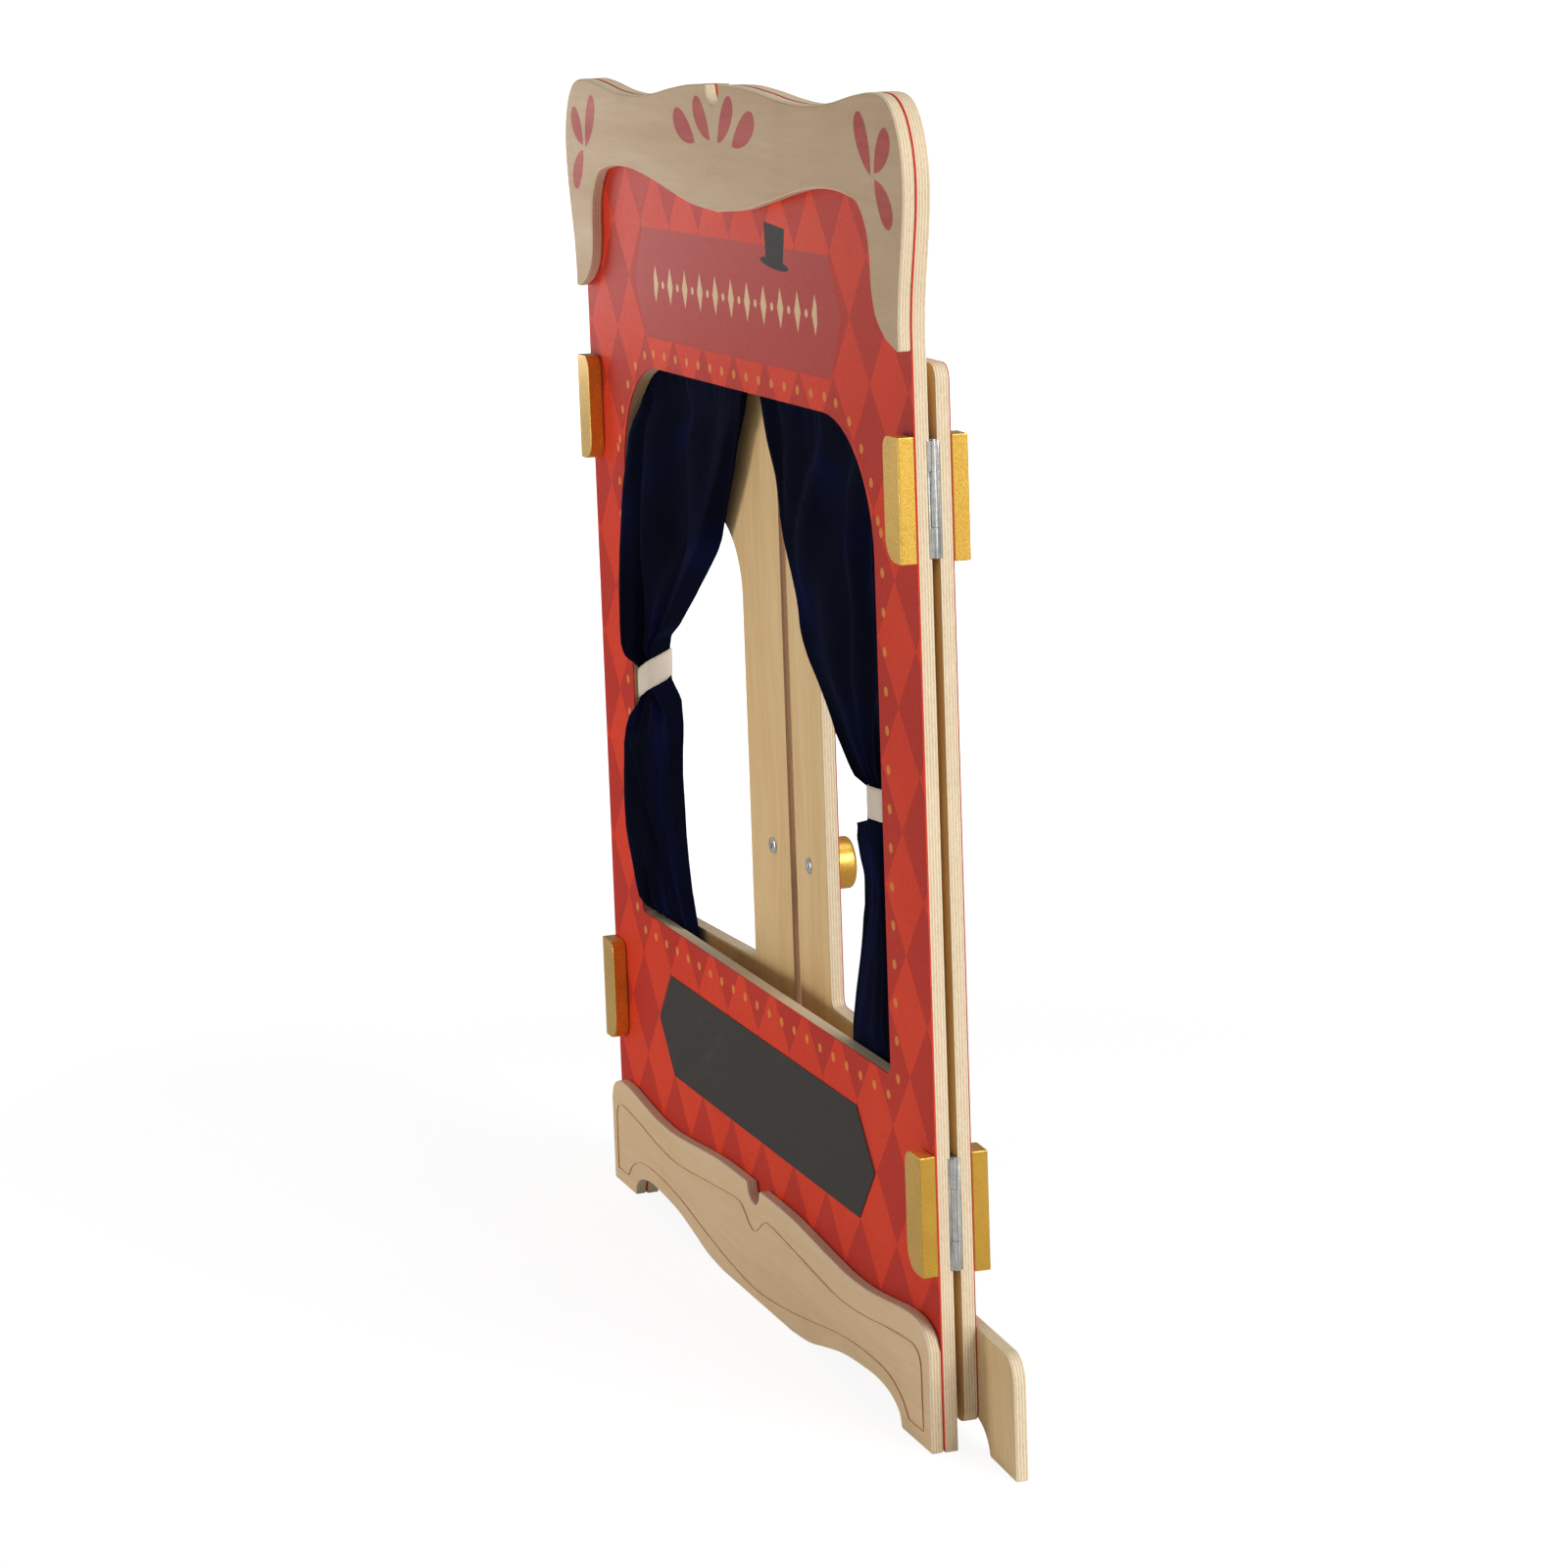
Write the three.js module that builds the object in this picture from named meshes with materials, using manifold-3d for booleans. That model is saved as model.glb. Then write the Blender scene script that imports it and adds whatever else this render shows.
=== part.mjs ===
// A folding puppet theatre stand for children, folded flat on its curtains as it is put away.
// Millimetres, +Z up, +X to the right as the audience sees it, -Y towards the audience.
import * as THREE from "three";
import { mergeVertices } from "three/addons/utils/BufferGeometryUtils.js";
import Module from "manifold-3d";

const wasm = await Module();
wasm.setup();

// Centre panel and the printed sheet on its face
const headHeight = 290;
const boardThickness = 12;
const sheetThickness = 1.5;
const sheetFloorGap = 3;
const seatGap = 0.3;
const overrun = 1;
const weldDistance = 0.003;

// Stage window
const jambWidth = 103;
const windowHeight = 589;
const windowSill = 321;
const windowTopRadius = 120;
const windowFootRadius = 8;

// Crest board across the top of the face
const crestHeight = 218;
const crestNotchRadius = 20;
const crestMiddleShare = 0.55;
const crestArmTipInset = 6;

// Apron board across the foot of the face
const apronHeight = 118;
const apronNotchRadius = 18;
const footWidth = 73;
const archRise = 28;
const middleFootWidth = 200;

// Chalkboard sheet under the window
const chalkSideInset = 150;
const chalkHeight = 108;
const chalkPointLength = 43;
const chalkCentreHeight = 216;
const chalkThickness = 0.8;

// Wooden blocks beside the hinges
const blockWidth = 37;
const blockHeight = 110;
const blockThickness = 15;
const blockTopRadius = 12;
const blockFootRadius = 22;
const upperHingeDrop = 346;
const lowerHingeHeight = 218;

// Folding wings, which meet behind the middle of the centre panel
const wingWidth = 455;
const wingMeetingGap = 0.5;
const wingBottom = 22;
const wingTopDrop = 230;
const wingCornerRadius = 14;
const wingGap = 7.5;
const restAngle = THREE.MathUtils.degToRad(2.8);
const stileWidth = 100;
const wingWindowDrop = 198;
const wingWindowRadius = 82;
const wingSheetThickness = 0.6;

// Foot board on each wing
const wingFootHeight = 112;
const wingFootReach = 92;
const wingFootLeg = 66;
const wingFootRadius = 23;
const wingArchRise = 28;
const wingArchRun = 40;

// Knob on each wing and the bolt that holds it
const knobRadius = 25.5;
const knobLength = 28;
const knobRound = 4;
const knobEdgeInset = 43;
const knobHeight = 448;
const knobBoreDepth = 20;
const boltRadius = 3;
const boltHeadRadius = 8.5;
const boltHeadThickness = 1.6;
const boltHeadRound = 0.6;
const boltSocketRadius = 2.6;
const boltSocketDepth = 1;
const boltReach = 18;

// Hinges
const hingeLength = 102;
const leafWidth = 30;
const leafThickness = 2;
const barrelRadius = 3.5;
const pinRadius = 1.6;
const pinHeadHeight = 1.2;
const runningGap = 0.1;
const knuckleGap = 0.3;
const outerKnuckleShare = 0.265;

// Hinge screws
const screwHeadRadius = 3.2;
const screwShankRadius = 1.6;
const screwLength = 9;
const screwHeadDepth = 1.7;
const screwEdgeInset = 17;
const screwHeightShares = [-0.3, 0.3];

// Curtain wire and the screw eyes that carry it
const wireRadius = 1.2;
const wireRise = 18;
const wireOffset = 5.2;
const wireBeadRadius = 2.8;
const wireBeadLength = 5;
const eyeJambInset = 25;
const eyeBodyRadius = 1.3;
const eyeShankLength = 8;

// Curtains and their tie bands
const curtainRows = 26;
const curtainColumns = 22;
const curtainFolds = 5;
const curtainEdgeShare = 0.3;
const curtainHeadRise = 6.7;
const tieHeight = 30;
const tieThickness = 1.6;
const tieCentreHeight = 567;
const tieHeldShare = 1.45;
const tieReachShare = 1.77;
const tieSideGap = 0.35;
const tieSegments = 28;

// Places that follow from the sizes above
const panelHalf = wingWidth + wingGap + wingMeetingGap;
const windowHalf = panelHalf - jambWidth;
const windowTop = windowSill + windowHeight;
const panelHeight = windowTop + headHeight;
const wingTop = panelHeight - wingTopDrop;
const wingWindowTop = wingTop - wingWindowDrop;
const wireHeight = windowTop + wireRise;
const eyePlace = windowHalf + eyeJambInset;
const curtainHead = wireHeight + curtainHeadRise;
const trimFace = -sheetThickness;
const hingeAxisDepth = boardThickness + wingGap / 2;
const wingFace = wingGap / 2;
const wingSheetFace = wingFace + boardThickness + seatGap;
const wingTrimFace = wingSheetFace + wingSheetThickness + seatGap;
const wireDepth = boardThickness + wireOffset;
const hingeHeights = { upper: panelHeight - upperHingeDrop, lower: lowerHingeHeight };
const tieHeldTop = tieCentreHeight + (tieHeight * tieHeldShare) / 2;
const tieHeldFoot = tieCentreHeight - (tieHeight * tieHeldShare) / 2;

// Outlines in shares: across, of half the panel's width, and down or up, of the board's own height
const earShares = [
  [1.0, 0.9], [1.007, 0.78], [1.024, 0.62], [1.041, 0.44], [1.043, 0.3], [1.03, 0.18], [1.0, 0.075],
  [0.96, 0.018], [0.896, 0.0], [0.8, 0.014], [0.67, 0.05], [0.527, 0.064], [0.4, 0.05], [0.281, 0.023],
  [0.151, 0.002],
];
const crestUnderShares = [
  [0.933, 0.958], [0.886, 0.876], [0.866, 0.752], [0.864, 0.65], [0.849, 0.536], [0.808, 0.44],
  [0.749, 0.412], [0.672, 0.398], [0.56, 0.404], [0.432, 0.438], [0.302, 0.484], [0.166, 0.528],
];
const apronTopShares = [
  [1.0, 0.79], [0.983, 0.915], [0.942, 0.983], [0.875, 0.99], [0.767, 0.94], [0.67, 0.9], [0.566, 0.89],
  [0.464, 0.915], [0.356, 0.953], [0.238, 0.99], [0.13, 1.0],
];
const archShares = [
  [0.0, 0.0], [0.015, 0.45], [0.08, 0.82], [0.19, 1.0], [0.35, 0.96], [0.52, 0.8], [0.68, 0.48], [0.83, 0.15],
];
const wingArchShares = [[0.0, 0.0], [0.12, 0.38], [0.4, 0.74], [1.0, 1.0]];

// The curtains' shape, from the head down. Each row gives its height as a share of the way from the cloth
// held by the tie band to the curtain's head, and in the second table from the sill up to that cloth,
// then the outer edge and the left and right curtain's inner edge as shares of half the window's width,
// then the front at the outer and at the inner edge, and the back, as shares of the board's thickness,
// and how much of that depth the folds take.
const curtainHeadShares = [
  [1.0, 1.03, 0.03, 0.03, 1.1, 1.1, 1.8, 0.02],
  [0.963, 1.03, 0.035, 0.035, 1.1, 1.1, 1.8, 0.03],
  [0.903, 1.03, 0.05, 0.05, 1.1, 1.1, 1.82, 0.2],
  [0.813, 1.012, 0.1, 0.1, 1.08, 1.08, 1.86, 0.24],
  [0.726, 0.945, 0.15, 0.15, 1.04, 1.04, 1.92, 0.24],
  [0.61, 0.978, 0.22, 0.21, -0.2, 0.7, 2.0, 0.24],
  [0.465, 0.985, 0.3, 0.28, -0.9, 0.5, 2.15, 0.22],
  [0.32, 0.985, 0.43, 0.38, -1.2, 0.4, 2.25, 0.18],
  [0.177, 0.985, 0.6, 0.53, -1.25, 0.4, 2.3, 0.12],
  [0.075, 0.985, 0.78, 0.72, -1.1, 0.4, 2.25, 0.06],
  [0.0, 0.985, 0.87, 0.87, 0.15, 0.15, 2.05, 0.0],
];
const curtainFootShares = [
  [1.0, 0.985, 0.87, 0.87, 0.15, 0.15, 2.05, 0.0],
  [0.893, 0.985, 0.78, 0.77, -1.2, 0.6, 2.2, 0.06],
  [0.735, 0.985, 0.745, 0.745, -1.3, 0.9, 2.25, 0.12],
  [0.499, 0.985, 0.73, 0.74, -1.35, 1.0, 2.25, 0.14],
  [0.289, 0.985, 0.72, 0.7, -1.0, 1.0, 2.15, 0.16],
  [0.131, 0.98, 0.7, 0.66, -0.1, 1.04, 2.0, 0.16],
  [0.032, 0.975, 0.69, 0.63, 1.06, 1.06, 1.85, 0.14],
  [-0.158, 0.97, 0.68, 0.625, 1.1, 1.1, 1.78, 0.14],
];
const curtainInnerColumn = { left: 2, right: 3 };
const curtainFrontShares = { left: -1.35, right: -0.1 };
const tieRiseShares = { left: 0.95, right: -0.25 };

// Finishes
const birch = { color: 0xe6d7be, roughness: 0.6, metalness: 0 };
const paleBirch = { color: 0xdcc9a4, roughness: 0.6, metalness: 0 };
const redPrint = { color: 0xbc4632, roughness: 0.55, metalness: 0 };
const chalkBlack = { color: 0x484644, roughness: 0.85, metalness: 0 };
const goldPaint = { color: 0xd9b23a, roughness: 0.4, metalness: 0.5 };
const zincSteel = { color: 0xb9bcc0, roughness: 0.35, metalness: 0.9 };
const navyCloth = { color: 0x10143a, roughness: 0.95, metalness: 0 };
const creamCloth = { color: 0xdccfbe, roughness: 0.9, metalness: 0 };

function mesh(name, geometry, finish) {
  const piece = new THREE.Mesh(geometry, new THREE.MeshStandardMaterial(finish));
  piece.name = name;
  return piece;
}

// Turns a closed geometry into a solid that can be joined and cut.
function solidOf(geometry) {
  const bare = geometry.index ? geometry.toNonIndexed() : geometry.clone();
  bare.deleteAttribute("normal");
  bare.deleteAttribute("uv");
  const merged = mergeVertices(bare, weldDistance);
  return new wasm.Manifold(
    new wasm.Mesh({
      numProp: 3,
      vertProperties: new Float32Array(merged.attributes.position.array),
      triVerts: new Uint32Array(merged.index.array),
    }),
  );
}

function geometryOf(solid) {
  const made = solid.getMesh();
  const geometry = new THREE.BufferGeometry();
  geometry.setAttribute("position", new THREE.BufferAttribute(new Float32Array(made.vertProperties), 3));
  geometry.setIndex(new THREE.BufferAttribute(new Uint32Array(made.triVerts), 1));
  geometry.computeVertexNormals();
  return geometry;
}

function carved(geometry, cutters) {
  let solid = solidOf(geometry);
  for (const cutter of cutters) {
    solid = solid.subtract(solidOf(cutter));
  }
  return geometryOf(solid);
}

function joined(geometries) {
  let solid = solidOf(geometries[0]);
  for (const geometry of geometries.slice(1)) {
    solid = solid.add(solidOf(geometry));
  }
  return geometryOf(solid);
}

// An upright board: its outline lies in X and Z, and its thickness runs back from the given depth.
function board(shape, front, thickness, curveSegments = 8) {
  const geometry = new THREE.ExtrudeGeometry(shape, { depth: thickness, bevelEnabled: false, curveSegments });
  geometry.rotateX(Math.PI / 2);
  geometry.translate(0, front + thickness, 0);
  return geometry;
}

function box(left, right, front, back, bottom, top) {
  const geometry = new THREE.BoxGeometry(right - left, back - front, top - bottom);
  geometry.translate((left + right) / 2, (front + back) / 2, (bottom + top) / 2);
  return geometry;
}

// A round piece about an upright line.
function upright(radius, bottom, top, x, y, sides = 16) {
  const geometry = new THREE.CylinderGeometry(radius, radius, top - bottom, sides);
  geometry.rotateX(Math.PI / 2);
  geometry.translate(x, y, (bottom + top) / 2);
  return geometry;
}

// A turned piece about a line that runs back from the board, given as [radius, depth] from front to back.
function turned(profile, x, z, sides) {
  const points = profile.map(([radius, depth]) => new THREE.Vector2(radius, depth));
  const geometry = new THREE.LatheGeometry(points, sides);
  geometry.translate(x, 0, z);
  return geometry;
}

function smooth(points, stepsEach = 4) {
  const curve = new THREE.CatmullRomCurve3(
    points.map((point) => new THREE.Vector3(point.x, point.y, 0)),
    false,
    "centripetal",
  );
  const steps = (points.length - 1) * stepsEach;
  return curve.getPoints(steps).map((point) => new THREE.Vector2(point.x, point.y));
}

function arc(centreX, centreY, radius, from, to, steps = 6) {
  const points = [];
  for (let step = 0; step <= steps; step += 1) {
    const angle = THREE.MathUtils.degToRad(from + ((to - from) * step) / steps);
    points.push(new THREE.Vector2(centreX + radius * Math.cos(angle), centreY + radius * Math.sin(angle)));
  }
  return points;
}

// Closes the right half of an outline, listed from its foot to its head, with its own mirror image.
function symmetric(half) {
  const mirror = half.map((point) => new THREE.Vector2(-point.x, point.y)).reverse();
  const loop = [...half, ...mirror];
  const kept = loop.filter((point, index) => {
    const next = loop[(index + 1) % loop.length];
    return point.distanceTo(next) > weldDistance;
  });
  return new THREE.Shape(kept);
}

function earCurve() {
  const points = earShares.map(
    ([across, down]) => new THREE.Vector2(panelHalf * across, panelHeight - crestHeight * down),
  );
  points.push(new THREE.Vector2(crestNotchRadius, panelHeight));
  return smooth(points);
}

function crestNotch() {
  return arc(0, panelHeight, crestNotchRadius, 0, -90);
}

// The lower edge of the panel, from the middle foot to the outer corner of the side foot.
function footCurve() {
  const archStart = panelHalf - footWidth;
  const archEnd = middleFootWidth / 2;
  const points = archShares.map(
    ([along, up]) => new THREE.Vector2(archStart + (archEnd - archStart) * along, archRise * up),
  );
  points.push(new THREE.Vector2(archEnd, 0));
  return [...smooth(points).reverse(), new THREE.Vector2(panelHalf, 0)];
}

function panelOutline() {
  return symmetric([...footCurve(), ...earCurve(), ...crestNotch()]);
}

function windowHole(left, right, bottom, top, topRadius, footRadius) {
  const points = [
    ...arc(right - footRadius, bottom + footRadius, footRadius, -90, 0, 3),
    ...arc(right - topRadius, top - topRadius, topRadius, 0, 90, 12),
    ...arc(left + topRadius, top - topRadius, topRadius, 90, 180, 12),
    ...arc(left + footRadius, bottom + footRadius, footRadius, 180, 270, 3),
  ];
  return new THREE.Path(points);
}

function stageHole() {
  return windowHole(-windowHalf, windowHalf, windowSill, windowTop, windowTopRadius, windowFootRadius);
}

function screwProfile(face, direction, clearance) {
  const head = screwHeadRadius + clearance;
  const shank = screwShankRadius + clearance;
  const depths = [0, screwHeadDepth, screwLength + clearance].map((depth) => face + direction * depth);
  const start = clearance > 0 ? face - direction * overrun : face;
  const profile = [
    [0, start],
    [head, start],
    [head, depths[0]],
    [shank, depths[1]],
    [shank, depths[2]],
    [0, depths[2]],
  ];
  if (clearance === 0) {
    profile.splice(1, 1);
  }
  return direction > 0 ? profile : profile.reverse();
}

function hingeScrew(x, z, face, direction, clearance = 0) {
  return turned(screwProfile(face, direction, clearance), x, z, 10);
}

function screwHeights(hingeHeight) {
  return screwHeightShares.map((share) => hingeHeight + share * hingeLength);
}

// Cuts one board for a sunk hinge leaf and its screws. The board's hinge edge is at edge, on the side that
// outwards points to, and the leaf is sunk into its face, from which depth grows in the given direction.
function leafCuts(edge, outwards, face, direction, hingeHeight) {
  const floor = face + direction * (leafThickness + seatGap);
  const mouth = face - direction * overrun;
  const inner = edge - outwards * (leafWidth + seatGap);
  const outer = edge + outwards * overrun;
  const reach = hingeLength / 2 + seatGap;
  const recess = box(
    Math.min(inner, outer),
    Math.max(inner, outer),
    Math.min(floor, mouth),
    Math.max(floor, mouth),
    hingeHeight - reach,
    hingeHeight + reach,
  );
  const holes = screwHeights(hingeHeight).map((height) =>
    hingeScrew(edge - outwards * screwEdgeInset, height, face, direction, seatGap),
  );
  return [recess, ...holes];
}

function eyeHole(side) {
  const radius = eyeBodyRadius + seatGap;
  const floor = boardThickness - eyeShankLength - seatGap;
  return turned(
    [[0, floor], [radius, floor], [radius, boardThickness + overrun], [0, boardThickness + overrun]],
    side * eyePlace,
    wireHeight,
    10,
  );
}

function centrePanel() {
  const shape = panelOutline();
  shape.holes.push(stageHole());
  const cuts = [eyeHole(-1), eyeHole(1)];
  for (const side of [-1, 1]) {
    for (const height of Object.values(hingeHeights)) {
      cuts.push(...leafCuts(side * panelHalf, side, boardThickness, -1, height));
    }
  }
  return mesh("centre_panel", carved(board(shape, 0, boardThickness), cuts), birch);
}

function facePrint() {
  const points = panelOutline().getPoints();
  const raised = points.map((point) => new THREE.Vector2(point.x, Math.max(point.y, sheetFloorGap)));
  const kept = raised.filter((point, index) => {
    const next = raised[(index + 1) % raised.length];
    const before = raised[(index + raised.length - 1) % raised.length];
    const flat = point.y === sheetFloorGap && next.y === sheetFloorGap && before.y === sheetFloorGap;
    return !flat && point.distanceTo(next) > weldDistance;
  });
  const shape = new THREE.Shape(kept);
  shape.holes.push(stageHole());
  return mesh("face_print_sheet", board(shape, trimFace, sheetThickness), redPrint);
}

function crestBoard() {
  const under = crestUnderShares
    .map(([across, down]) => new THREE.Vector2(panelHalf * across, panelHeight - crestHeight * down))
    .reverse();
  const lowest = panelHeight - crestHeight;
  const lowestMiddle = new THREE.Vector2(0, panelHeight - crestHeight * crestMiddleShare);
  const tip = new THREE.Vector2(panelHalf - crestArmTipInset, lowest);
  const corner = new THREE.Vector2(panelHalf, lowest);
  const half = [...smooth([lowestMiddle, ...under, tip]), corner, ...earCurve(), ...crestNotch()];
  return mesh("crest_board", board(symmetric(half), trimFace - boardThickness, boardThickness), paleBirch);
}

function apronBoard() {
  const points = apronTopShares.map(
    ([across, up]) => new THREE.Vector2(panelHalf * across, apronHeight * up),
  );
  points.push(new THREE.Vector2(apronNotchRadius, apronHeight));
  const half = [...footCurve(), ...smooth(points), ...arc(0, apronHeight, apronNotchRadius, 0, -90)];
  return mesh("apron_board", board(symmetric(half), trimFace - boardThickness, boardThickness), paleBirch);
}

function chalkboard() {
  const reach = panelHalf - chalkSideInset;
  const flat = reach - chalkPointLength;
  const low = chalkCentreHeight - chalkHeight / 2;
  const high = chalkCentreHeight + chalkHeight / 2;
  const shape = symmetric([
    new THREE.Vector2(flat, low),
    new THREE.Vector2(reach, chalkCentreHeight),
    new THREE.Vector2(flat, high),
  ]);
  return mesh("chalkboard_sheet", board(shape, trimFace - chalkThickness, chalkThickness), chalkBlack);
}

// A block with its straight side along the hinge edge and its rounded corners towards the middle.
function blockShape(edge, height) {
  const inner = edge - blockWidth;
  const low = height - blockHeight / 2;
  const high = height + blockHeight / 2;
  return new THREE.Shape([
    new THREE.Vector2(edge, low),
    new THREE.Vector2(edge, high),
    ...arc(inner + blockTopRadius, high - blockTopRadius, blockTopRadius, 90, 180, 5),
    ...arc(inner + blockFootRadius, low + blockFootRadius, blockFootRadius, 180, 270, 7),
  ]);
}

// One leaf of a hinge and its knuckles, with the pin at x = 0, y = 0. The leaf runs towards -X and lies on
// the side that direction points to, +1 for the wing's leaf and -1 for the panel's.
function leafGeometry(hingeHeight, direction, knuckles) {
  const near = direction * (wingGap / 2);
  const far = near + direction * leafThickness;
  const half = hingeLength / 2;
  const [low, high] = [hingeHeight - half, hingeHeight + half];
  const plate = box(-leafWidth, 0, Math.min(near, far), Math.max(near, far), low, high);
  const parts = [plate];
  const bores = [];
  const clearances = [];
  for (const [bottom, top] of knuckles) {
    parts.push(upright(barrelRadius, bottom, top, 0, 0));
    const root = near + direction * (leafThickness / 2);
    parts.push(box(-barrelRadius, 0, Math.min(0, root), Math.max(0, root), bottom, top));
    bores.push(upright(pinRadius + runningGap, bottom - overrun, top + overrun, 0, 0, 12));
  }
  for (const height of screwHeights(hingeHeight)) {
    clearances.push(hingeScrew(-screwEdgeInset, height, near, direction, seatGap));
  }
  return carved(joined(parts), [...bores, ...clearances]);
}

function knuckleSpans(hingeHeight) {
  const low = hingeHeight - hingeLength / 2;
  const high = hingeHeight + hingeLength / 2;
  const outer = hingeLength * outerKnuckleShare;
  return {
    fixed: [[low, low + outer - knuckleGap / 2], [high - outer + knuckleGap / 2, high]],
    moving: [[low + outer + knuckleGap / 2, high - outer - knuckleGap / 2]],
  };
}

function hingePin(hingeHeight) {
  const low = hingeHeight - hingeLength / 2;
  const high = hingeHeight + hingeLength / 2;
  const headLow = high + seatGap;
  return joined([
    upright(pinRadius, low, headLow + pinHeadHeight / 2, 0, 0, 12),
    upright(barrelRadius, headLow, headLow + pinHeadHeight, 0, 0, 12),
  ]);
}

// The rows of both curtain tables from the head down, each with its height above the floor.
function curtainTable() {
  const place = (rows, foot, head) =>
    rows.map(([share, ...section]) => [THREE.MathUtils.lerp(foot, head, share), ...section]);
  return [
    ...place(curtainHeadShares, tieHeldTop, curtainHead),
    ...place(curtainFootShares, windowSill, tieHeldFoot),
  ];
}

// A curtain's section at a height above the floor, from the tables for its side.
function curtainSection(side, height) {
  const table = curtainTable();
  const found = table.findIndex((row) => row[0] <= height);
  const below = found === -1 ? table.length - 1 : Math.max(found, 1);
  const [upper, lower] = [table[below - 1], table[below]];
  const mix = THREE.MathUtils.clamp((upper[0] - height) / (upper[0] - lower[0]), 0, 1);
  const value = (column) => upper[column] + (lower[column] - upper[column]) * mix;
  return {
    outer: windowHalf * value(1),
    inner: windowHalf * value(curtainInnerColumn[side]),
    frontOuter: boardThickness * Math.max(value(4), curtainFrontShares[side]),
    frontInner: boardThickness * value(5),
    back: boardThickness * value(6),
    fold: value(7),
  };
}

// How firmly the tie band holds the cloth at a height above the floor, from 0 to 1.
function tieHold(height) {
  const away = Math.abs(height - tieCentreHeight) / tieHeight;
  return THREE.MathUtils.clamp(1 - (away - 1) / tieReachShare, 0, 1);
}

// How far a curtain's row is lifted at its inner edge, where the tie band pulls it.
function tieLift(side, height) {
  return tieHeight * tieRiseShares[side] * tieHold(height);
}

// Two lists of points, along the front and the back of the cloth, from its outer to its inner edge.
function curtainRow(side, height) {
  const section = curtainSection(side, height);
  const lift = tieLift(side, height);
  const lean = tieHold(height) / 2;
  const front = [];
  const back = [];
  for (let column = 0; column <= curtainColumns; column += 1) {
    const along = column / curtainColumns;
    const bulge = Math.max(curtainEdgeShare, Math.sqrt(1 - Math.pow(2 * along - 1, 6)));
    const foremost = THREE.MathUtils.lerp(section.frontOuter, section.frontInner, along);
    const depth = section.back - foremost;
    const near = foremost + depth * (1 - bulge) * lean;
    const far = near + depth * bulge;
    const swing = (section.fold * (far - near)) / 2;
    const wave = Math.sin(2 * Math.PI * curtainFolds * along);
    const x = THREE.MathUtils.lerp(section.outer, section.inner, along);
    const z = height + lift * along;
    front.push(new THREE.Vector3(x, near + swing * (1 + wave), z));
    back.push(new THREE.Vector3(x, far - swing * (1 - wave), z));
  }
  return { front, back };
}

// A closed skin over rows of points, each row running round the piece, from the lowest row to the highest.
function lofted(rows, capFirst, capLast) {
  const across = rows[0].length;
  const positions = rows.flat().flatMap((point) => [point.x, point.y, point.z]);
  const faces = [];
  for (let row = 0; row + 1 < rows.length; row += 1) {
    for (let column = 0; column < across; column += 1) {
      const next = (column + 1) % across;
      const [a, b] = [row * across + column, row * across + next];
      const [c, d] = [a + across, b + across];
      faces.push(a, b, d, a, d, c);
    }
  }
  faces.push(...capFirst, ...capLast.map((index) => index + (rows.length - 1) * across));
  const geometry = new THREE.BufferGeometry();
  geometry.setAttribute("position", new THREE.Float32BufferAttribute(positions, 3));
  geometry.setIndex(faces);
  geometry.computeVertexNormals();
  return geometry;
}

// The heights of the table's rows, with more between them where they lie furthest apart.
function curtainHeights() {
  const heights = curtainTable().map((row) => row[0]);
  const extra = curtainRows - heights.length;
  for (let added = 0; added < extra; added += 1) {
    let widest = 1;
    for (let index = 1; index < heights.length; index += 1) {
      if (heights[index - 1] - heights[index] > heights[widest - 1] - heights[widest]) {
        widest = index;
      }
    }
    heights.splice(widest, 0, (heights[widest - 1] + heights[widest]) / 2);
  }
  return heights.reverse();
}

function curtain(side) {
  const rows = curtainHeights().map((height) => {
    const { front, back } = curtainRow(side, height);
    return [...back, ...front.reverse()];
  });
  const across = rows[0].length;
  const bottomCap = [];
  for (let column = 0; column < curtainColumns; column += 1) {
    const [a, b] = [column, column + 1];
    const [c, d] = [across - 1 - column, across - 2 - column];
    bottomCap.push(a, c, d, a, d, b);
  }
  const topCap = [];
  for (let index = 0; index < bottomCap.length; index += 3) {
    topCap.push(bottomCap[index], bottomCap[index + 2], bottomCap[index + 1]);
  }
  const pocket = new THREE.CylinderGeometry(wireRadius + seatGap, wireRadius + seatGap, 2 * eyePlace, 12);
  pocket.rotateZ(Math.PI / 2);
  pocket.translate(0, wireDepth, wireHeight);
  return mesh(`${side}_curtain`, carved(lofted(rows, bottomCap, topCap), [pocket]), navyCloth);
}

// A band of cloth round the gathered curtain, from the same section as the curtain itself.
function tieBand(side) {
  const section = curtainSection(side, tieCentreHeight);
  const middle = [(section.outer + section.inner) / 2, (section.frontInner + section.back) / 2];
  const reach = [(section.outer - section.inner) / 2, (section.back - section.frontInner) / 2];
  const loop = (height, grow) => {
    const points = [];
    for (let step = 0; step < tieSegments; step += 1) {
      const angle = (2 * Math.PI * step) / tieSegments;
      const [c, s] = [Math.cos(angle), Math.sin(angle)];
      const round = Math.pow(Math.pow(Math.abs(c), 4) + Math.pow(Math.abs(s), 4), -1 / 4);
      const x = middle[0] + (reach[0] + grow) * round * c;
      const y = middle[1] + (reach[1] + grow) * round * s;
      const along = THREE.MathUtils.clamp((section.outer - x) / (section.outer - section.inner), 0, 1);
      points.push(new THREE.Vector3(x, y, height + tieLift(side, height) * along));
    }
    return points;
  };
  const [low, high] = [tieCentreHeight - tieHeight / 2, tieCentreHeight + tieHeight / 2];
  const inside = tieSideGap;
  const outside = tieSideGap + tieThickness;
  const start = loop(low, outside);
  const rings = [start, loop(high, outside), loop(high, inside), loop(low, inside), start];
  const geometry = mergeVertices(lofted(rings, [], []), weldDistance);
  return mesh(`${side}_tie_band`, geometry, creamCloth);
}

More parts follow.
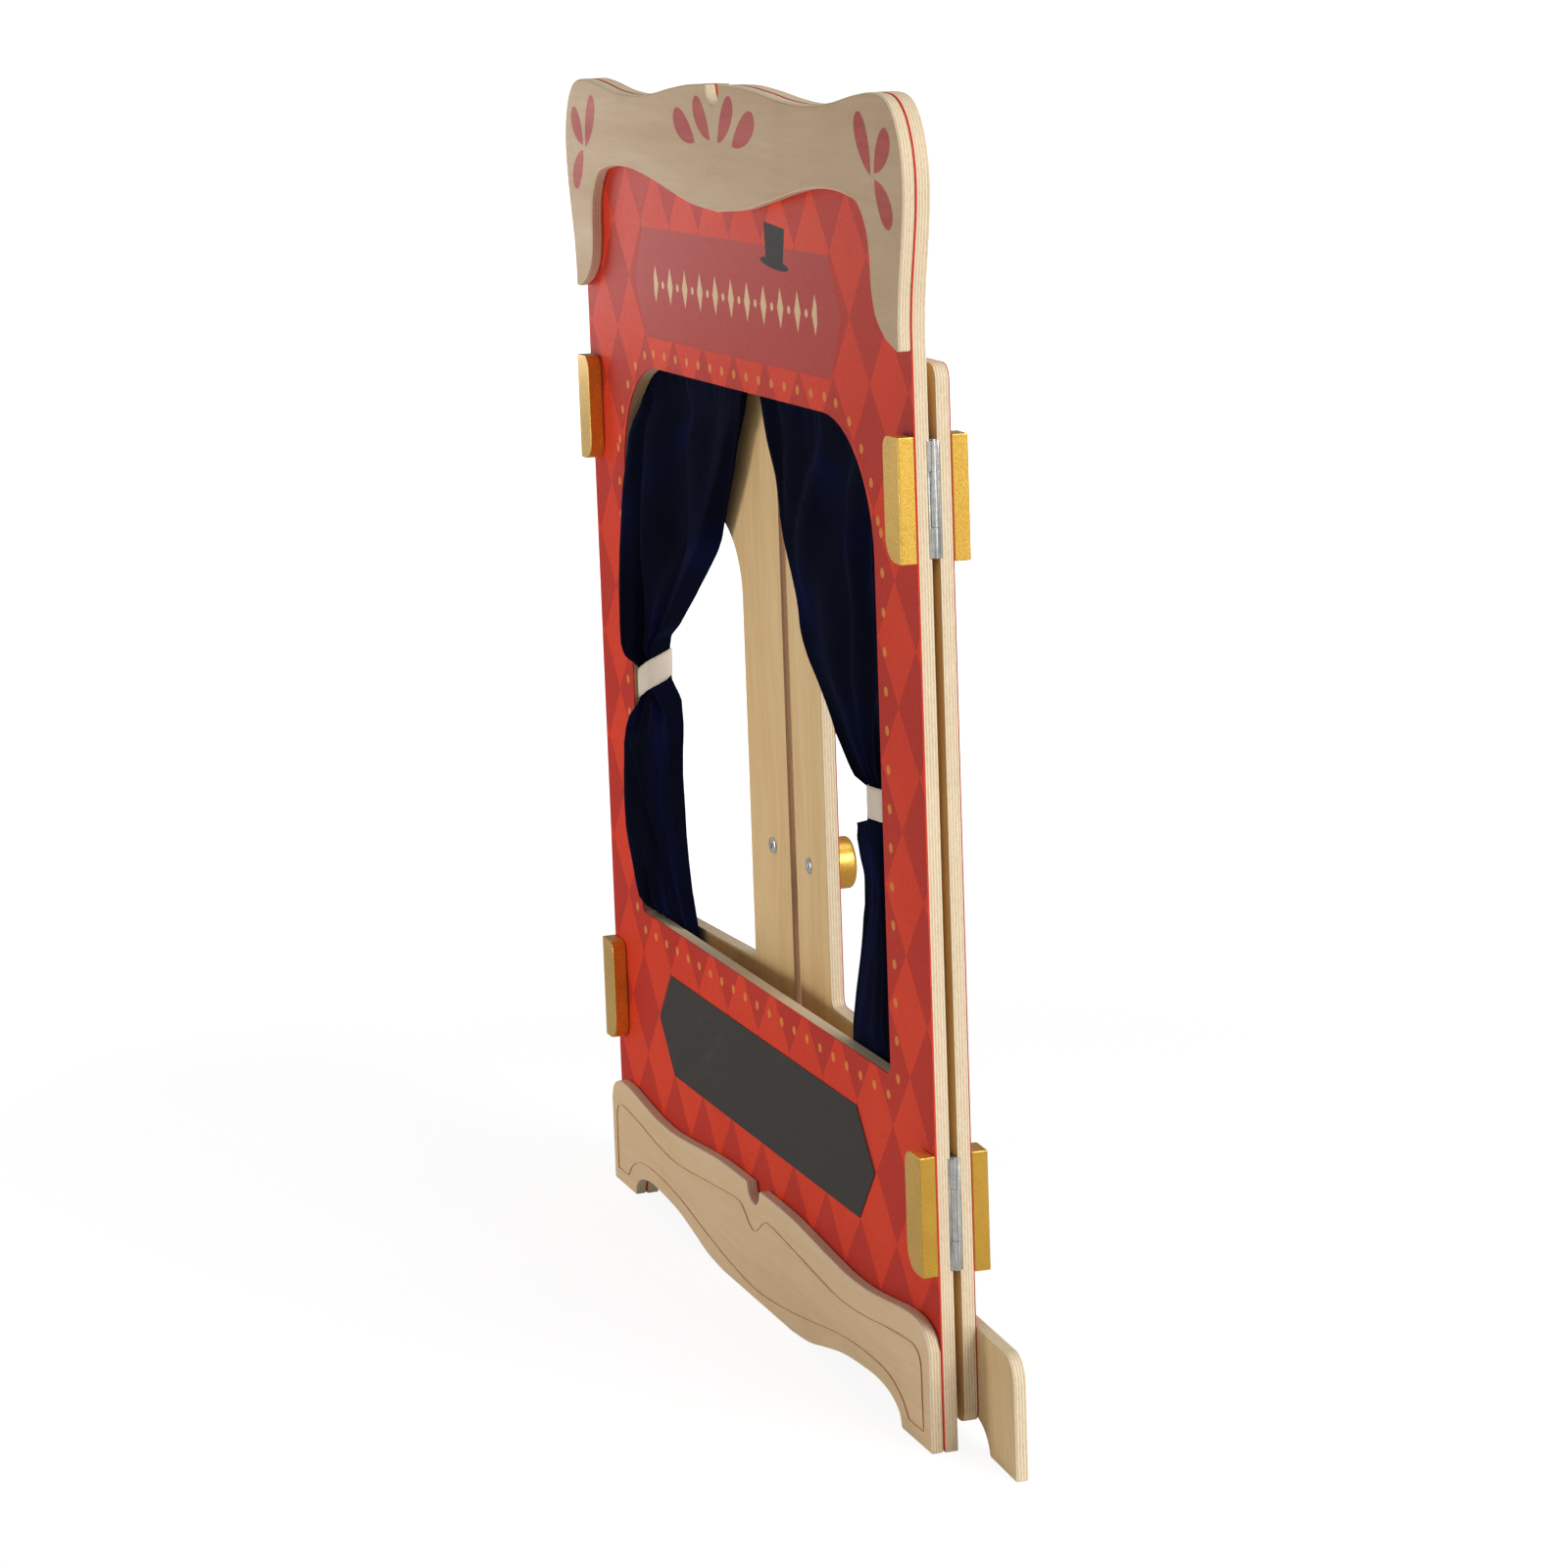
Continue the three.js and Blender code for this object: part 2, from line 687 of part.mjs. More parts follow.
function curtainWire() {
  const reach = eyePlace + eyeBodyRadius + seatGap;
  const end = reach + wireBeadLength;
  const profile = [[0, -end], [wireBeadRadius, -end], [wireBeadRadius, -reach], [wireRadius, -reach]];
  const mirror = profile.map(([radius, along]) => [radius, -along]).reverse();
  const geometry = turned([...profile, ...mirror], 0, 0, 12);
  geometry.rotateZ(-Math.PI / 2);
  geometry.translate(0, wireDepth, wireHeight);
  return mesh("curtain_wire", geometry, zincSteel);
}

// A screw eye: its ring stands square to the wire, and its shank goes into the back of the panel.
function screwEye() {
  const ringRadius = wireRadius + seatGap + eyeBodyRadius;
  const ring = new THREE.TorusGeometry(ringRadius, eyeBodyRadius, 8, 16);
  ring.rotateY(Math.PI / 2);
  ring.translate(eyePlace, wireDepth, wireHeight);
  const tip = boardThickness - eyeShankLength;
  const root = wireDepth - ringRadius;
  const profile = [[0, tip], [eyeBodyRadius, tip], [eyeBodyRadius, root], [0, root]];
  const shank = turned(profile, eyePlace, wireHeight, 8);
  return joined([ring, shank]);
}

// Outline of a wing, with its hinge edge on x = 0 and its free edge towards -X.
function wingOutline(inset = 0) {
  const [left, right] = [-wingWidth + inset, -inset];
  const [low, high] = [wingBottom + inset, wingTop - inset];
  const radius = wingCornerRadius;
  return new THREE.Shape([
    ...arc(right - radius, low + radius, radius, -90, 0, 3),
    ...arc(right - radius, high - radius, radius, 0, 90, 3),
    ...arc(left + radius, high - radius, radius, 90, 180, 3),
    ...arc(left + radius, low + radius, radius, 180, 270, 3),
  ]);
}

function wingHole() {
  const [left, right] = [-wingWidth + stileWidth, -stileWidth];
  return windowHole(left, right, windowSill, wingWindowTop, wingWindowRadius, windowFootRadius);
}

function boltHole() {
  const radius = boltRadius + seatGap;
  const [start, end] = [wingFace - overrun, wingTrimFace + overrun];
  const profile = [[0, start], [radius, start], [radius, end], [0, end]];
  return turned(profile, -wingWidth + knobEdgeInset, knobHeight, 12);
}

function wingPanel(side) {
  const shape = wingOutline();
  shape.holes.push(wingHole());
  const cuts = [boltHole()];
  for (const height of Object.values(hingeHeights)) {
    cuts.push(...leafCuts(0, 1, wingFace, 1, height));
  }
  return mesh(`${side}_wing_panel`, carved(board(shape, wingFace, boardThickness), cuts), birch);
}

function wingPrint(side) {
  const shape = wingOutline();
  shape.holes.push(wingHole());
  const sheet = board(shape, wingSheetFace, wingSheetThickness);
  return mesh(`${side}_wing_print_sheet`, carved(sheet, [boltHole()]), redPrint);
}

// The foot board runs along the wing and past its hinge edge, so that it steadies the open stand.
function wingFoot(side) {
  const [left, right] = [-wingWidth, wingFootReach];
  const arch = (start, direction) =>
    wingArchShares.map(
      ([along, up]) => new THREE.Vector2(start + direction * wingArchRun * along, wingArchRise * up),
    );
  const shape = new THREE.Shape([
    new THREE.Vector2(left, 0),
    ...smooth(arch(left + wingFootLeg, 1)),
    ...smooth(arch(right - wingFootLeg, -1)).reverse(),
    new THREE.Vector2(right, 0),
    ...arc(right - wingFootRadius, wingFootHeight - wingFootRadius, wingFootRadius, 0, 90, 5),
    ...arc(left + wingFootRadius, wingFootHeight - wingFootRadius, wingFootRadius, 90, 180, 5),
  ]);
  return mesh(`${side}_wing_foot`, board(shape, wingTrimFace, boardThickness), paleBirch);
}

function knob(side) {
  const end = wingTrimFace + knobLength;
  const bore = boltRadius + seatGap;
  const floor = wingTrimFace + knobBoreDepth;
  const profile = [
    [0, floor],
    [bore, floor],
    [bore, wingTrimFace],
    [knobRadius - knobRound / 2, wingTrimFace],
    [knobRadius, wingTrimFace + knobRound / 2],
    [knobRadius, end - knobRound],
    [knobRadius - knobRound / 3, end - knobRound / 3],
    [knobRadius - knobRound, end],
    [0, end],
  ];
  return mesh(`${side}_knob`, turned(profile, -wingWidth + knobEdgeInset, knobHeight, 32), goldPaint);
}

function knobBolt(side) {
  const seat = wingFace - seatGap;
  const face = seat - boltHeadThickness;
  const profile = [
    [0, face + boltSocketDepth],
    [boltSocketRadius, face + boltSocketDepth],
    [boltSocketRadius, face],
    [boltHeadRadius - boltHeadRound, face],
    [boltHeadRadius, face + boltHeadRound],
    [boltHeadRadius, seat],
    [boltRadius, seat],
    [boltRadius, wingTrimFace + boltReach],
    [0, wingTrimFace + boltReach],
  ];
  return mesh(`${side}_knob_bolt`, turned(profile, -wingWidth + knobEdgeInset, knobHeight, 18), zincSteel);
}

// All that swings about one hinge line, which is x = 0, y = 0 here.
function wing(side) {
  const group = new THREE.Group();
  group.add(wingPanel(side), wingPrint(side), wingFoot(side), knob(side), knobBolt(side));
  for (const [level, height] of Object.entries(hingeHeights)) {
    const block = board(blockShape(0, height), wingTrimFace, blockThickness);
    group.add(mesh(`${side}_${level}_wing_block`, block, goldPaint));
    const leaf = leafGeometry(height, 1, knuckleSpans(height).moving);
    group.add(mesh(`${side}_${level}_hinge_wing_leaf`, leaf, zincSteel));
    screwHeights(height).forEach((screwHeight, index) => {
      const screw = hingeScrew(-screwEdgeInset, screwHeight, wingFace, 1);
      group.add(mesh(`${side}_${level}_wing_leaf_screw_${index + 1}`, screw, zincSteel));
    });
  }
  group.position.set(panelHalf, hingeAxisDepth, 0);
  group.rotation.z = -restAngle;
  return group;
}

// What is fixed to the centre panel along one side.
function fixedSide(side) {
  const group = new THREE.Group();
  group.add(curtain(side), tieBand(side), mesh(`${side}_screw_eye`, screwEye(), zincSteel));
  for (const [level, height] of Object.entries(hingeHeights)) {
    const block = board(blockShape(panelHalf, height), trimFace - blockThickness, blockThickness);
    group.add(mesh(`${side}_${level}_face_block`, block, goldPaint));
    const hinge = new THREE.Group();
    hinge.position.set(panelHalf, hingeAxisDepth, 0);
    const leaf = leafGeometry(height, -1, knuckleSpans(height).fixed);
    hinge.add(mesh(`${side}_${level}_hinge_panel_leaf`, leaf, zincSteel));
    hinge.add(mesh(`${side}_${level}_hinge_pin`, hingePin(height), zincSteel));
    screwHeights(height).forEach((screwHeight, index) => {
      const screw = hingeScrew(-screwEdgeInset, screwHeight, -wingFace, -1);
      hinge.add(mesh(`${side}_${level}_panel_leaf_screw_${index + 1}`, screw, zincSteel));
    });
    group.add(hinge);
  }
  return group;
}

const stand = new THREE.Group();
stand.add(centrePanel(), facePrint(), crestBoard(), apronBoard(), chalkboard(), curtainWire());
for (const [side, mirror] of [["left", -1], ["right", 1]]) {
  const half = new THREE.Group();
  half.scale.x = mirror;
  half.add(fixedSide(side), wing(side));
  stand.add(half);
}

// The origin lies on the floor, under the middle of the folded stand.
const reach = new THREE.Box3().setFromObject(stand, true);
stand.position.y = -(reach.min.y + reach.max.y) / 2;

const part = new THREE.Group();
part.add(stand);
export default part;
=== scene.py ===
"""Looks of a folding puppet theatre stand. Metres, +Z up, audience at -Y."""

import math

import bmesh
import bpy
import numpy as np
from mathutils import Matrix, Vector


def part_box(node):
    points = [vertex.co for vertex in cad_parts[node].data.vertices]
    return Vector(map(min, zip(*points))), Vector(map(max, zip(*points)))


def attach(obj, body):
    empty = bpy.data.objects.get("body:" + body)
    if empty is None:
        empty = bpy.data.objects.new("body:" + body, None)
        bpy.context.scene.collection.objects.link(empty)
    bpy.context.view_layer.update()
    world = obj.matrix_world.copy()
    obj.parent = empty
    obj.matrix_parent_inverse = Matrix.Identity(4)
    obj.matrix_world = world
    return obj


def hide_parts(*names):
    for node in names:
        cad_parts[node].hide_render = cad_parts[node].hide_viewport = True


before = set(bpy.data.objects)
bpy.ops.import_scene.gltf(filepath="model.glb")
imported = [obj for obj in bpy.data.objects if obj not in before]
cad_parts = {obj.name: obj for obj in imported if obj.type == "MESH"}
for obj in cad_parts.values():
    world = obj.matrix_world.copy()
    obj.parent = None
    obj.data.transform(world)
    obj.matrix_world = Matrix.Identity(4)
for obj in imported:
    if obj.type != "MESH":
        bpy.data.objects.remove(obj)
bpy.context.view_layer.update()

MM = 0.001
SIDES = {"left": -1, "right": 1}
LEVELS = ("upper", "lower")

# Places shared with the CAD part
BOARD = 0.012
SHEET = 0.0015
PANEL_HALF = 0.463
CORE_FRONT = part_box("centre_panel")[0].y
CORE_BACK = CORE_FRONT + BOARD
TRIM_FRONT = CORE_FRONT - SHEET - BOARD
LEAF_SEAT = 3.75 * MM
LEAF_BACK = 5.75 * MM
HINGE_DEPTH = CORE_BACK + LEAF_SEAT
REST_ANGLE = math.radians(2.8)
HINGE_HEIGHTS = {"upper": 0.854, "lower": 0.218}
HINGE_LENGTH = 0.102
WINDOW_HALF = 0.360
WIRE_HEIGHT = 0.928
WIRE_DEPTH = CORE_BACK + 0.0052
EYE_PLACE = 0.385
TIE_CENTRE = 0.567
TIE_HALF = 0.015
KNOB_CENTRE = (-0.412, 0, 0.448)
KNOB_LENGTH = 28 * MM
WING_TRIM = 0.01695


def made_object(name, data):
    made = bpy.data.objects.new(name, data)
    bpy.context.collection.objects.link(made)
    return made


# Camera


def photo_camera():
    lens = bpy.data.cameras.new("photo_lens")
    lens.sensor_width = 36
    lens.lens = 92.646
    lens.shift_x = 0.0084
    lens.shift_y = -0.0938
    lens.clip_end = 60
    camera = made_object("photo_camera", lens)
    camera.location = (3.64367, CORE_FRONT - 1.26357, 1.30994)
    camera.rotation_euler = [math.radians(angle) for angle in (80.5445, 2.0323, 70.1625)]
    bpy.context.scene.camera = camera


photo_camera()


# Node helpers


def both_ways(operation):
    """A sign's two methods: for a value on its left, and for one on its right."""
    return (lambda one, two: one.net.maths(operation, one, two),
            lambda one, two: one.net.maths(operation, two, one))


class Value:
    """What a node puts out. It can be added, multiplied and compared as a number can."""

    def __init__(self, net, socket):
        self.net = net
        self.socket = socket

    __add__, __radd__ = both_ways("ADD")
    __sub__, __rsub__ = both_ways("SUBTRACT")
    __mul__, __rmul__ = both_ways("MULTIPLY")
    __truediv__, __rtruediv__ = both_ways("DIVIDE")
    __mod__ = both_ways("FLOORED_MODULO")[0]
    __pow__ = both_ways("POWER")[0]
    __lt__ = both_ways("LESS_THAN")[0]

    def __abs__(self):
        return self.net.maths("ABSOLUTE", self)


class Net:
    """A node tree, with short ways to add the nodes that the finishes use."""

    def __init__(self, tree):
        self.tree = tree

    def feed(self, socket, value):
        if isinstance(value, Value):
            self.tree.links.new(value.socket, socket)
        else:
            socket.default_value = value

    def add(self, kind, inputs=(), **settings):
        made = self.tree.nodes.new(kind)
        for key, value in settings.items():
            setattr(made, key, value)
        for key, value in dict(inputs).items():
            self.feed(made.inputs[key], value)
        return made

    def node(self, kind, inputs=(), output=0, **settings):
        return Value(self, self.add(kind, inputs, **settings).outputs[output])

    def outputs(self, kind, inputs=(), **settings):
        return {socket.name: Value(self, socket) for socket in self.add(kind, inputs, **settings).outputs}

    def maths(self, operation, *values):
        return self.node("ShaderNodeMath", enumerate(values), operation=operation)

    def vector(self, operation, *values):
        return self.node("ShaderNodeVectorMath", enumerate(values), operation=operation)

    def length(self, vector):
        return self.node("ShaderNodeVectorMath", {0: vector}, "Value", operation="LENGTH")

    def split(self, vector):
        return list(self.outputs("ShaderNodeSeparateXYZ", {0: vector}).values())

    def join(self, x, y, z):
        return self.node("ShaderNodeCombineXYZ", enumerate((x, y, z)))

    def step(self, value, low, high, to_low=0.0, to_high=1.0):
        """A smooth change from to_low, below low, to to_high, above high."""
        given = {"Value": value, "From Min": low, "From Max": high, "To Min": to_low, "To Max": to_high}
        return self.node("ShaderNodeMapRange", given, "Result", interpolation_type="SMOOTHSTEP")

    def below(self, value, limit, blur):
        """1 where the value is under the limit, and 0 above it."""
        return self.step(value, limit - blur, limit + blur, 1.0, 0.0)

    def mix(self, share, first, second, blend="MIX"):
        return self.node("ShaderNodeMix", {0: share, 6: first, 7: second}, 2,
                         data_type="RGBA", blend_type=blend, clamp_factor=True)

    def tones(self, pattern, low, high, first, second):
        return self.mix(self.step(pattern, low, high), first, second)

    def noise(self, vector, scale, detail=3.0, roughness=0.5, distortion=0.0):
        """Clouds or, where each direction has its own scale, streaks."""
        if isinstance(scale, tuple):
            vector = self.vector("MULTIPLY", vector, scale)
            scale = 1.0
        given = {"Vector": vector, "Scale": scale, "Detail": detail, "Roughness": roughness,
                 "Distortion": distortion}
        return self.node("ShaderNodeTexNoise", given, "Fac")

    def bump(self, height, distance, strength=1.0):
        given = {"Height": height, "Distance": distance, "Strength": strength}
        return self.node("ShaderNodeBump", given, "Normal")

    def use(self, group, given):
        return self.outputs("ShaderNodeGroup", given, node_tree=group)

    def put_out(self, results):
        self.add("NodeGroupOutput", results)
        return self.tree


def new_group(name, kind, inputs, outputs):
    """A node group, as its net and its inputs. An input gives its kind, or the number that it starts from."""
    group = bpy.data.node_groups.new(name, kind)
    for key, given in inputs.items():
        known = isinstance(given, str)
        socket_kind = "NodeSocket" + (given if known else "Float")
        socket = group.interface.new_socket(name=key, in_out="INPUT", socket_type=socket_kind)
        if not known:
            socket.default_value = given
    for key, given in outputs.items():
        group.interface.new_socket(name=key, in_out="OUTPUT", socket_type="NodeSocket" + given)
    net = Net(group)
    return net, net.outputs("NodeGroupInput")


def shared_effect(name, inputs, outputs):
    return new_group(name, "ShaderNodeTree", inputs, outputs)


def colour(red, green, blue):
    """A screen colour from 0 to 255 as the linear colour that nodes take."""
    def linear(value):
        share = value / 255
        return share / 12.92 if share <= 0.04045 else ((share + 0.055) / 1.055) ** 2.4
    return (linear(red), linear(green), linear(blue), 1.0)


def new_finish(name):
    """A finish, with its net and the coordinates that it can read."""
    finish = bpy.data.materials.new(name)
    finish.use_nodes = True
    net = Net(finish.node_tree)
    return finish, net, net.outputs("ShaderNodeTexCoord")


def dressed(finish, net, looks):
    """Feeds a finish's shader, and sets its plain numbers on the shader itself."""
    shader = finish.node_tree.nodes["Principled BSDF"]
    for key, value in looks.items():
        net.feed(shader.inputs[key], value)
    return finish


# Shared effects

DOT_PITCH = 0.0353
DOT_RADIUS = 0.0045
PRINT_BLUR = 0.0004


def wood_grain_effect():
    """Fine birch figure: long streaks along the place's Z, broad cloudy bands and short pores."""
    net, given = shared_effect(
        "wood_grain", {"Place": "Vector", "Pale": "Color", "Dark": "Color", "Depth": 0.00012},
        {"Colour": "Color", "Figure": "Float", "Normal": "Vector"})
    place = given["Place"]
    bend = net.noise(place, 3.0, 2.0)
    bent = net.vector("ADD", place, net.join(bend * 0.05, 0.0, 0.0))
    bands = net.noise(bent, (22.0, 22.0, 2.2), 4.0, 0.6)
    streaks = net.noise(bent, (170.0, 170.0, 9.0), 3.0, 0.6)
    pores = net.step(net.noise(bent, (900.0, 900.0, 60.0), 2.0), 0.60, 0.74)
    figure = bands * 0.6 + streaks * 0.4
    toned = net.tones(figure, 0.30, 0.72, given["Pale"], given["Dark"])
    marked = net.mix(pores * 0.12, toned, given["Dark"], "MULTIPLY")
    normal = net.bump(streaks * 0.6 - pores, given["Depth"], 0.35)
    return net.put_out({"Colour": marked, "Figure": figure, "Normal": normal})


def ply_layers_effect():
    """Edge of plywood: pale and darker veneers in turn across the board, with thin glue lines."""
    net, given = shared_effect("ply_layers", {"Across": 0.5, "Place": "Vector", "Layers": 9.0},
                               {"Colour": "Color", "Glue": "Float"})
    place = given["Place"]
    wobble = net.noise(place, (30.0, 30.0, 30.0), 2.0)
    layer = (given["Across"] + (wobble - 0.5) * 0.03) * given["Layers"]
    odd = net.maths("FLOOR", layer) % 2.0
    glue = net.step(abs(net.maths("FRACT", layer) - 0.5), 0.38, 0.49)
    fibre = net.noise(place, (260.0, 2200.0, 260.0), 2.0)
    patch = net.noise(place, (40.0, 40.0, 40.0), 3.0)
    pale = net.tones(fibre, 0.35, 0.65, colour(238, 224, 200), colour(228, 211, 182))
    tan = net.tones(fibre, 0.35, 0.65, colour(224, 203, 170), colour(206, 180, 142))
    strength = glue * net.step(patch, 0.3, 0.7, 0.12, 0.5)
    layered = net.mix(strength, net.mix(odd, pale, tan), colour(160, 118, 76))
    return net.put_out({"Colour": layered, "Glue": glue})


def dot_row_effect():
    """Round printed dots in a row along one coordinate."""
    net, given = shared_effect("dot_row", {"Along": 0.0, "Away": 0.0, "Pitch": DOT_PITCH, "Reach": 10.5,
                                           "Radius": DOT_RADIUS}, {"Mask": "Float"})
    turns = given["Along"] / given["Pitch"]
    nearest = net.maths("ROUND", turns)
    far = net.length(net.join((turns - nearest) * given["Pitch"], given["Away"], 0.0))
    dot = net.below(far - given["Radius"], 0.0, PRINT_BLUR)
    return net.put_out({"Mask": dot * (abs(nearest) < given["Reach"])})


def petal_effect():
    """A drop-shaped printed petal from a pointed tip to a round lobe, in the plane of X and Z."""
    net, given = shared_effect("petal", {"X": 0.0, "Z": 0.0, "Tip X": 0.0, "Tip Z": 0.0, "Turn": 0.0,
                                         "Length": 0.06, "Width": 0.011}, {"Mask": "Float"})
    x = given["X"] - given["Tip X"]
    z = given["Z"] - given["Tip Z"]
    cosine = net.maths("COSINE", given["Turn"])
    sine = net.maths("SINE", given["Turn"])
    along = (x * cosine + z * sine) / given["Length"]
    aside = abs(z * cosine - x * sine)
    near = net.maths("MINIMUM", net.maths("MAXIMUM", along, 0.0), 1.0)
    half = near ** 0.8 * (1.0 - near) ** 0.45 * 1.82 * given["Width"]
    return net.put_out({"Mask": net.below(aside - half, 0.0, PRINT_BLUR)})


def weave_effect():
    """Plain weave from a cloth's own map, which is in metres: a height and a thread tone that rises with the
    height, as painted shade in the weave's hollows, plus random fuzz.
    """
    net, given = shared_effect("weave", {"Map": "Vector", "Thread": 0.0006, "Depth": 0.0001},
                               {"Tone": "Float", "Normal": "Vector"})
    x, y, _ = net.split(given["Map"])
    warp = net.maths("SINE", x / given["Thread"] * math.pi)
    weft = net.maths("SINE", y / given["Thread"] * math.pi)
    height = warp * weft
    fuzz = net.noise(given["Map"], 1500.0, 2.0)
    return net.put_out({"Tone": net.maths("MULTIPLY_ADD", height, 0.25, fuzz),
                        "Normal": net.bump(height + fuzz, given["Depth"], 0.6)})


def wear_effect():
    """Scuffs: few short scratches and cloudy hand marks, each as a share."""
    net, given = shared_effect("wear", {"Place": "Vector", "Scale": 1.0},
                               {"Marks": "Float", "Clouds": "Float"})
    scale = given["Scale"]
    place = net.vector("MULTIPLY", given["Place"], net.join(scale, scale, scale))
    return net.put_out({"Marks": net.step(net.noise(place, (340.0, 340.0, 90.0), 4.0, 0.7), 0.66, 0.78),
                        "Clouds": net.noise(place, 9.0, 4.0, 0.6)})


WOOD_GRAIN = wood_grain_effect()
PLY_LAYERS = ply_layers_effect()
DOT_ROW = dot_row_effect()
PETAL = petal_effect()
WEAVE = weave_effect()
WEAR = wear_effect()

# Petals printed on the crest: tip and lobe, as x and height. The corners have the same petals, mirrored.
MIDDLE_PETALS = [((-0.055, 1.145), (-0.117, 1.170)), ((-0.010, 1.148), (-0.055, 1.185)),
                 ((0.013, 1.146), (0.056, 1.187)), ((0.053, 1.144), (0.117, 1.171))]
CORNER_PETALS = [((0.410, 1.130), (0.379, 1.182)), ((0.419, 1.132), (0.454, 1.167)),
                 ((0.419, 1.126), (0.456, 1.088))]
PETALS = MIDDLE_PETALS + [((sign * tip_x, tip_z), (sign * lobe_x, lobe_z)) for sign in (1, -1)
                          for (tip_x, tip_z), (lobe_x, lobe_z) in CORNER_PETALS]
PETAL_WIDTH = 0.0170
# The harlequin print: width and height of a diamond, and the height of the lowest row's middle
DIAMOND = (0.0905, 0.11175)
DIAMOND_FOOT = 0.163
# The banner: its middle's height, half its height and width, and how far its ends slant in
BANNER_MIDDLE = 0.997
BANNER_RISE = 0.056
BANNER_HALF = 0.296
BANNER_SLANT = 0.030
ORNAMENT_PITCH = 0.046
# The hat's middle, as x and height, and its tilt
HAT = (0.1255, 1.037)
HAT_TILT = math.radians(-4.5)
# The dots round the stage window's upper corners: their arc's middle and radius
DOT_CORNER = (0.240, 0.790)
DOT_CORNER_RADIUS = 0.136


# Finishes


def printed_petals(net, x, z, grain):
    petals = 0.0
    for (tip_x, tip_z), (lobe_x, lobe_z) in PETALS:
        along, rise = lobe_x - tip_x, lobe_z - tip_z
        given = {"X": x, "Z": z, "Tip X": tip_x, "Tip Z": tip_z, "Turn": math.atan2(rise, along),
                 "Length": math.hypot(along, rise), "Width": PETAL_WIDTH}
        petals = net.maths("MAXIMUM", petals, net.use(PETAL, given)["Mask"])
    ink = net.tones(grain["Figure"], 0.35, 0.65, colour(192, 66, 60), colour(178, 58, 52))
    return net.mix(petals * 0.95, grain["Colour"], ink)


def plywood_finish(name, pale, dark, petals=False, across=False, painted_shade_edge=None):
    """Clear-coated birch ply. The board's own ply attribute runs from 0 at its face to 1 at its back."""
    finish, net, place = new_finish(name)
    ply = net.node("ShaderNodeAttribute", output="Fac", attribute_name="ply")
    spot = place["Object"]
    x, y, z = net.split(spot)
    normal_x, normal_y, _ = net.split(place["Normal"])
    run = net.join(z, y, x) if across else spot
    grain = net.use(WOOD_GRAIN, {"Place": run, "Pale": pale, "Dark": dark})
    layers = net.use(PLY_LAYERS, {"Across": ply, "Place": spot})
    face = printed_petals(net, x, z, grain) if petals else grain["Colour"]
    edge = layers["Colour"]
    # With "free", the wing panels' edges where the two wings meet are painted a shaded brown: painted shade
    # of the narrow gap between the wings.
    if painted_shade_edge == "free":
        there = net.step(abs(x), 0.008, 0.012, 0.75, 0.0)
    # With "window", the centre panel's window jambs are painted a shaded brown: painted shade where the
    # curtains hang close to them.
    elif painted_shade_edge == "window":
        there = net.step(abs(normal_x), 0.2, 0.6, 0.0, 0.65) * net.below(abs(x), 0.364, 0.002)
    # The brown these edges take is painted shade, not a stain of the wood.
    if painted_shade_edge:
        edge = net.mix(there, edge, net.mix(layers["Glue"], colour(176, 112, 50), colour(132, 78, 32)))
    toned = net.mix(net.step(abs(normal_y), 0.80, 0.95), edge, face)
    clouds = net.use(WEAR, {"Place": spot})["Clouds"]
    handled = net.mix(net.step(clouds, 0.45, 0.85, 0.0, 0.12), toned, colour(196, 164, 124), "MULTIPLY")
    return dressed(finish, net, {
        "Base Color": handled, "Roughness": net.step(grain["Figure"], 0.3, 0.7, 0.48, 0.60),
        "Normal": grain["Normal"], "Specular IOR Level": 0.22})


def harlequin(net, x, z):
    """1 inside the lighter diamonds of the print, which stand tip to tip."""
    wide, high = DIAMOND
    across = abs(x % wide - wide / 2)
    up = abs((z - (DIAMOND_FOOT - high / 2)) % high - high / 2)
    return net.below(across / (wide / 2) + up / (high / 2), 1.0, 0.015)


def hat_mask(net, x, z):
    """A top hat's plain outline, tilted a little."""
    cosine, sine = math.cos(HAT_TILT), math.sin(HAT_TILT)
    from_x = x - HAT[0]
    from_z = z - HAT[1]
    along = from_x * cosine + from_z * sine
    up = from_z * cosine - from_x * sine
    side = abs(along) - net.step(up, 0.0, 0.034, 0.0235, 0.0272)
    between = net.step(up, -PRINT_BLUR, PRINT_BLUR) * net.below(up, 0.0362, PRINT_BLUR)
    crown = net.below(side, 0.0, PRINT_BLUR) * between
    brim = net.below(net.length(net.join(along / 0.0385, up / 0.0048, 0.0)), 1.0, 0.04)
    return net.maths("MAXIMUM", crown, brim)


def window_dots(net, x, z):
    """Rows of dots below, above and beside the stage window, and round its upper corners."""
    def row(along, aside, reach):
        return net.use(DOT_ROW, {"Along": along, "Away": aside, "Reach": reach})["Mask"]

    away = abs(x)
    corner_x = away - DOT_CORNER[0]
    corner_z = z - DOT_CORNER[1]
    turn = net.maths("ARCTAN2", corner_z, corner_x) - math.radians(45)
    aside = net.length(net.join(corner_x, corner_z, 0.0)) - DOT_CORNER_RADIUS
    dots = row(turn * DOT_CORNER_RADIUS, aside, 2.5) * (abs(turn) < math.radians(42))
    sides = z - 0.322 - DOT_PITCH * 7
    for place in ((x, z - 0.3015, 10.5), (x, z - 0.9245, 7.5), (sides, away - 0.378, 7.5)):
        dots = net.maths("MAXIMUM", dots, row(*place))
    return dots


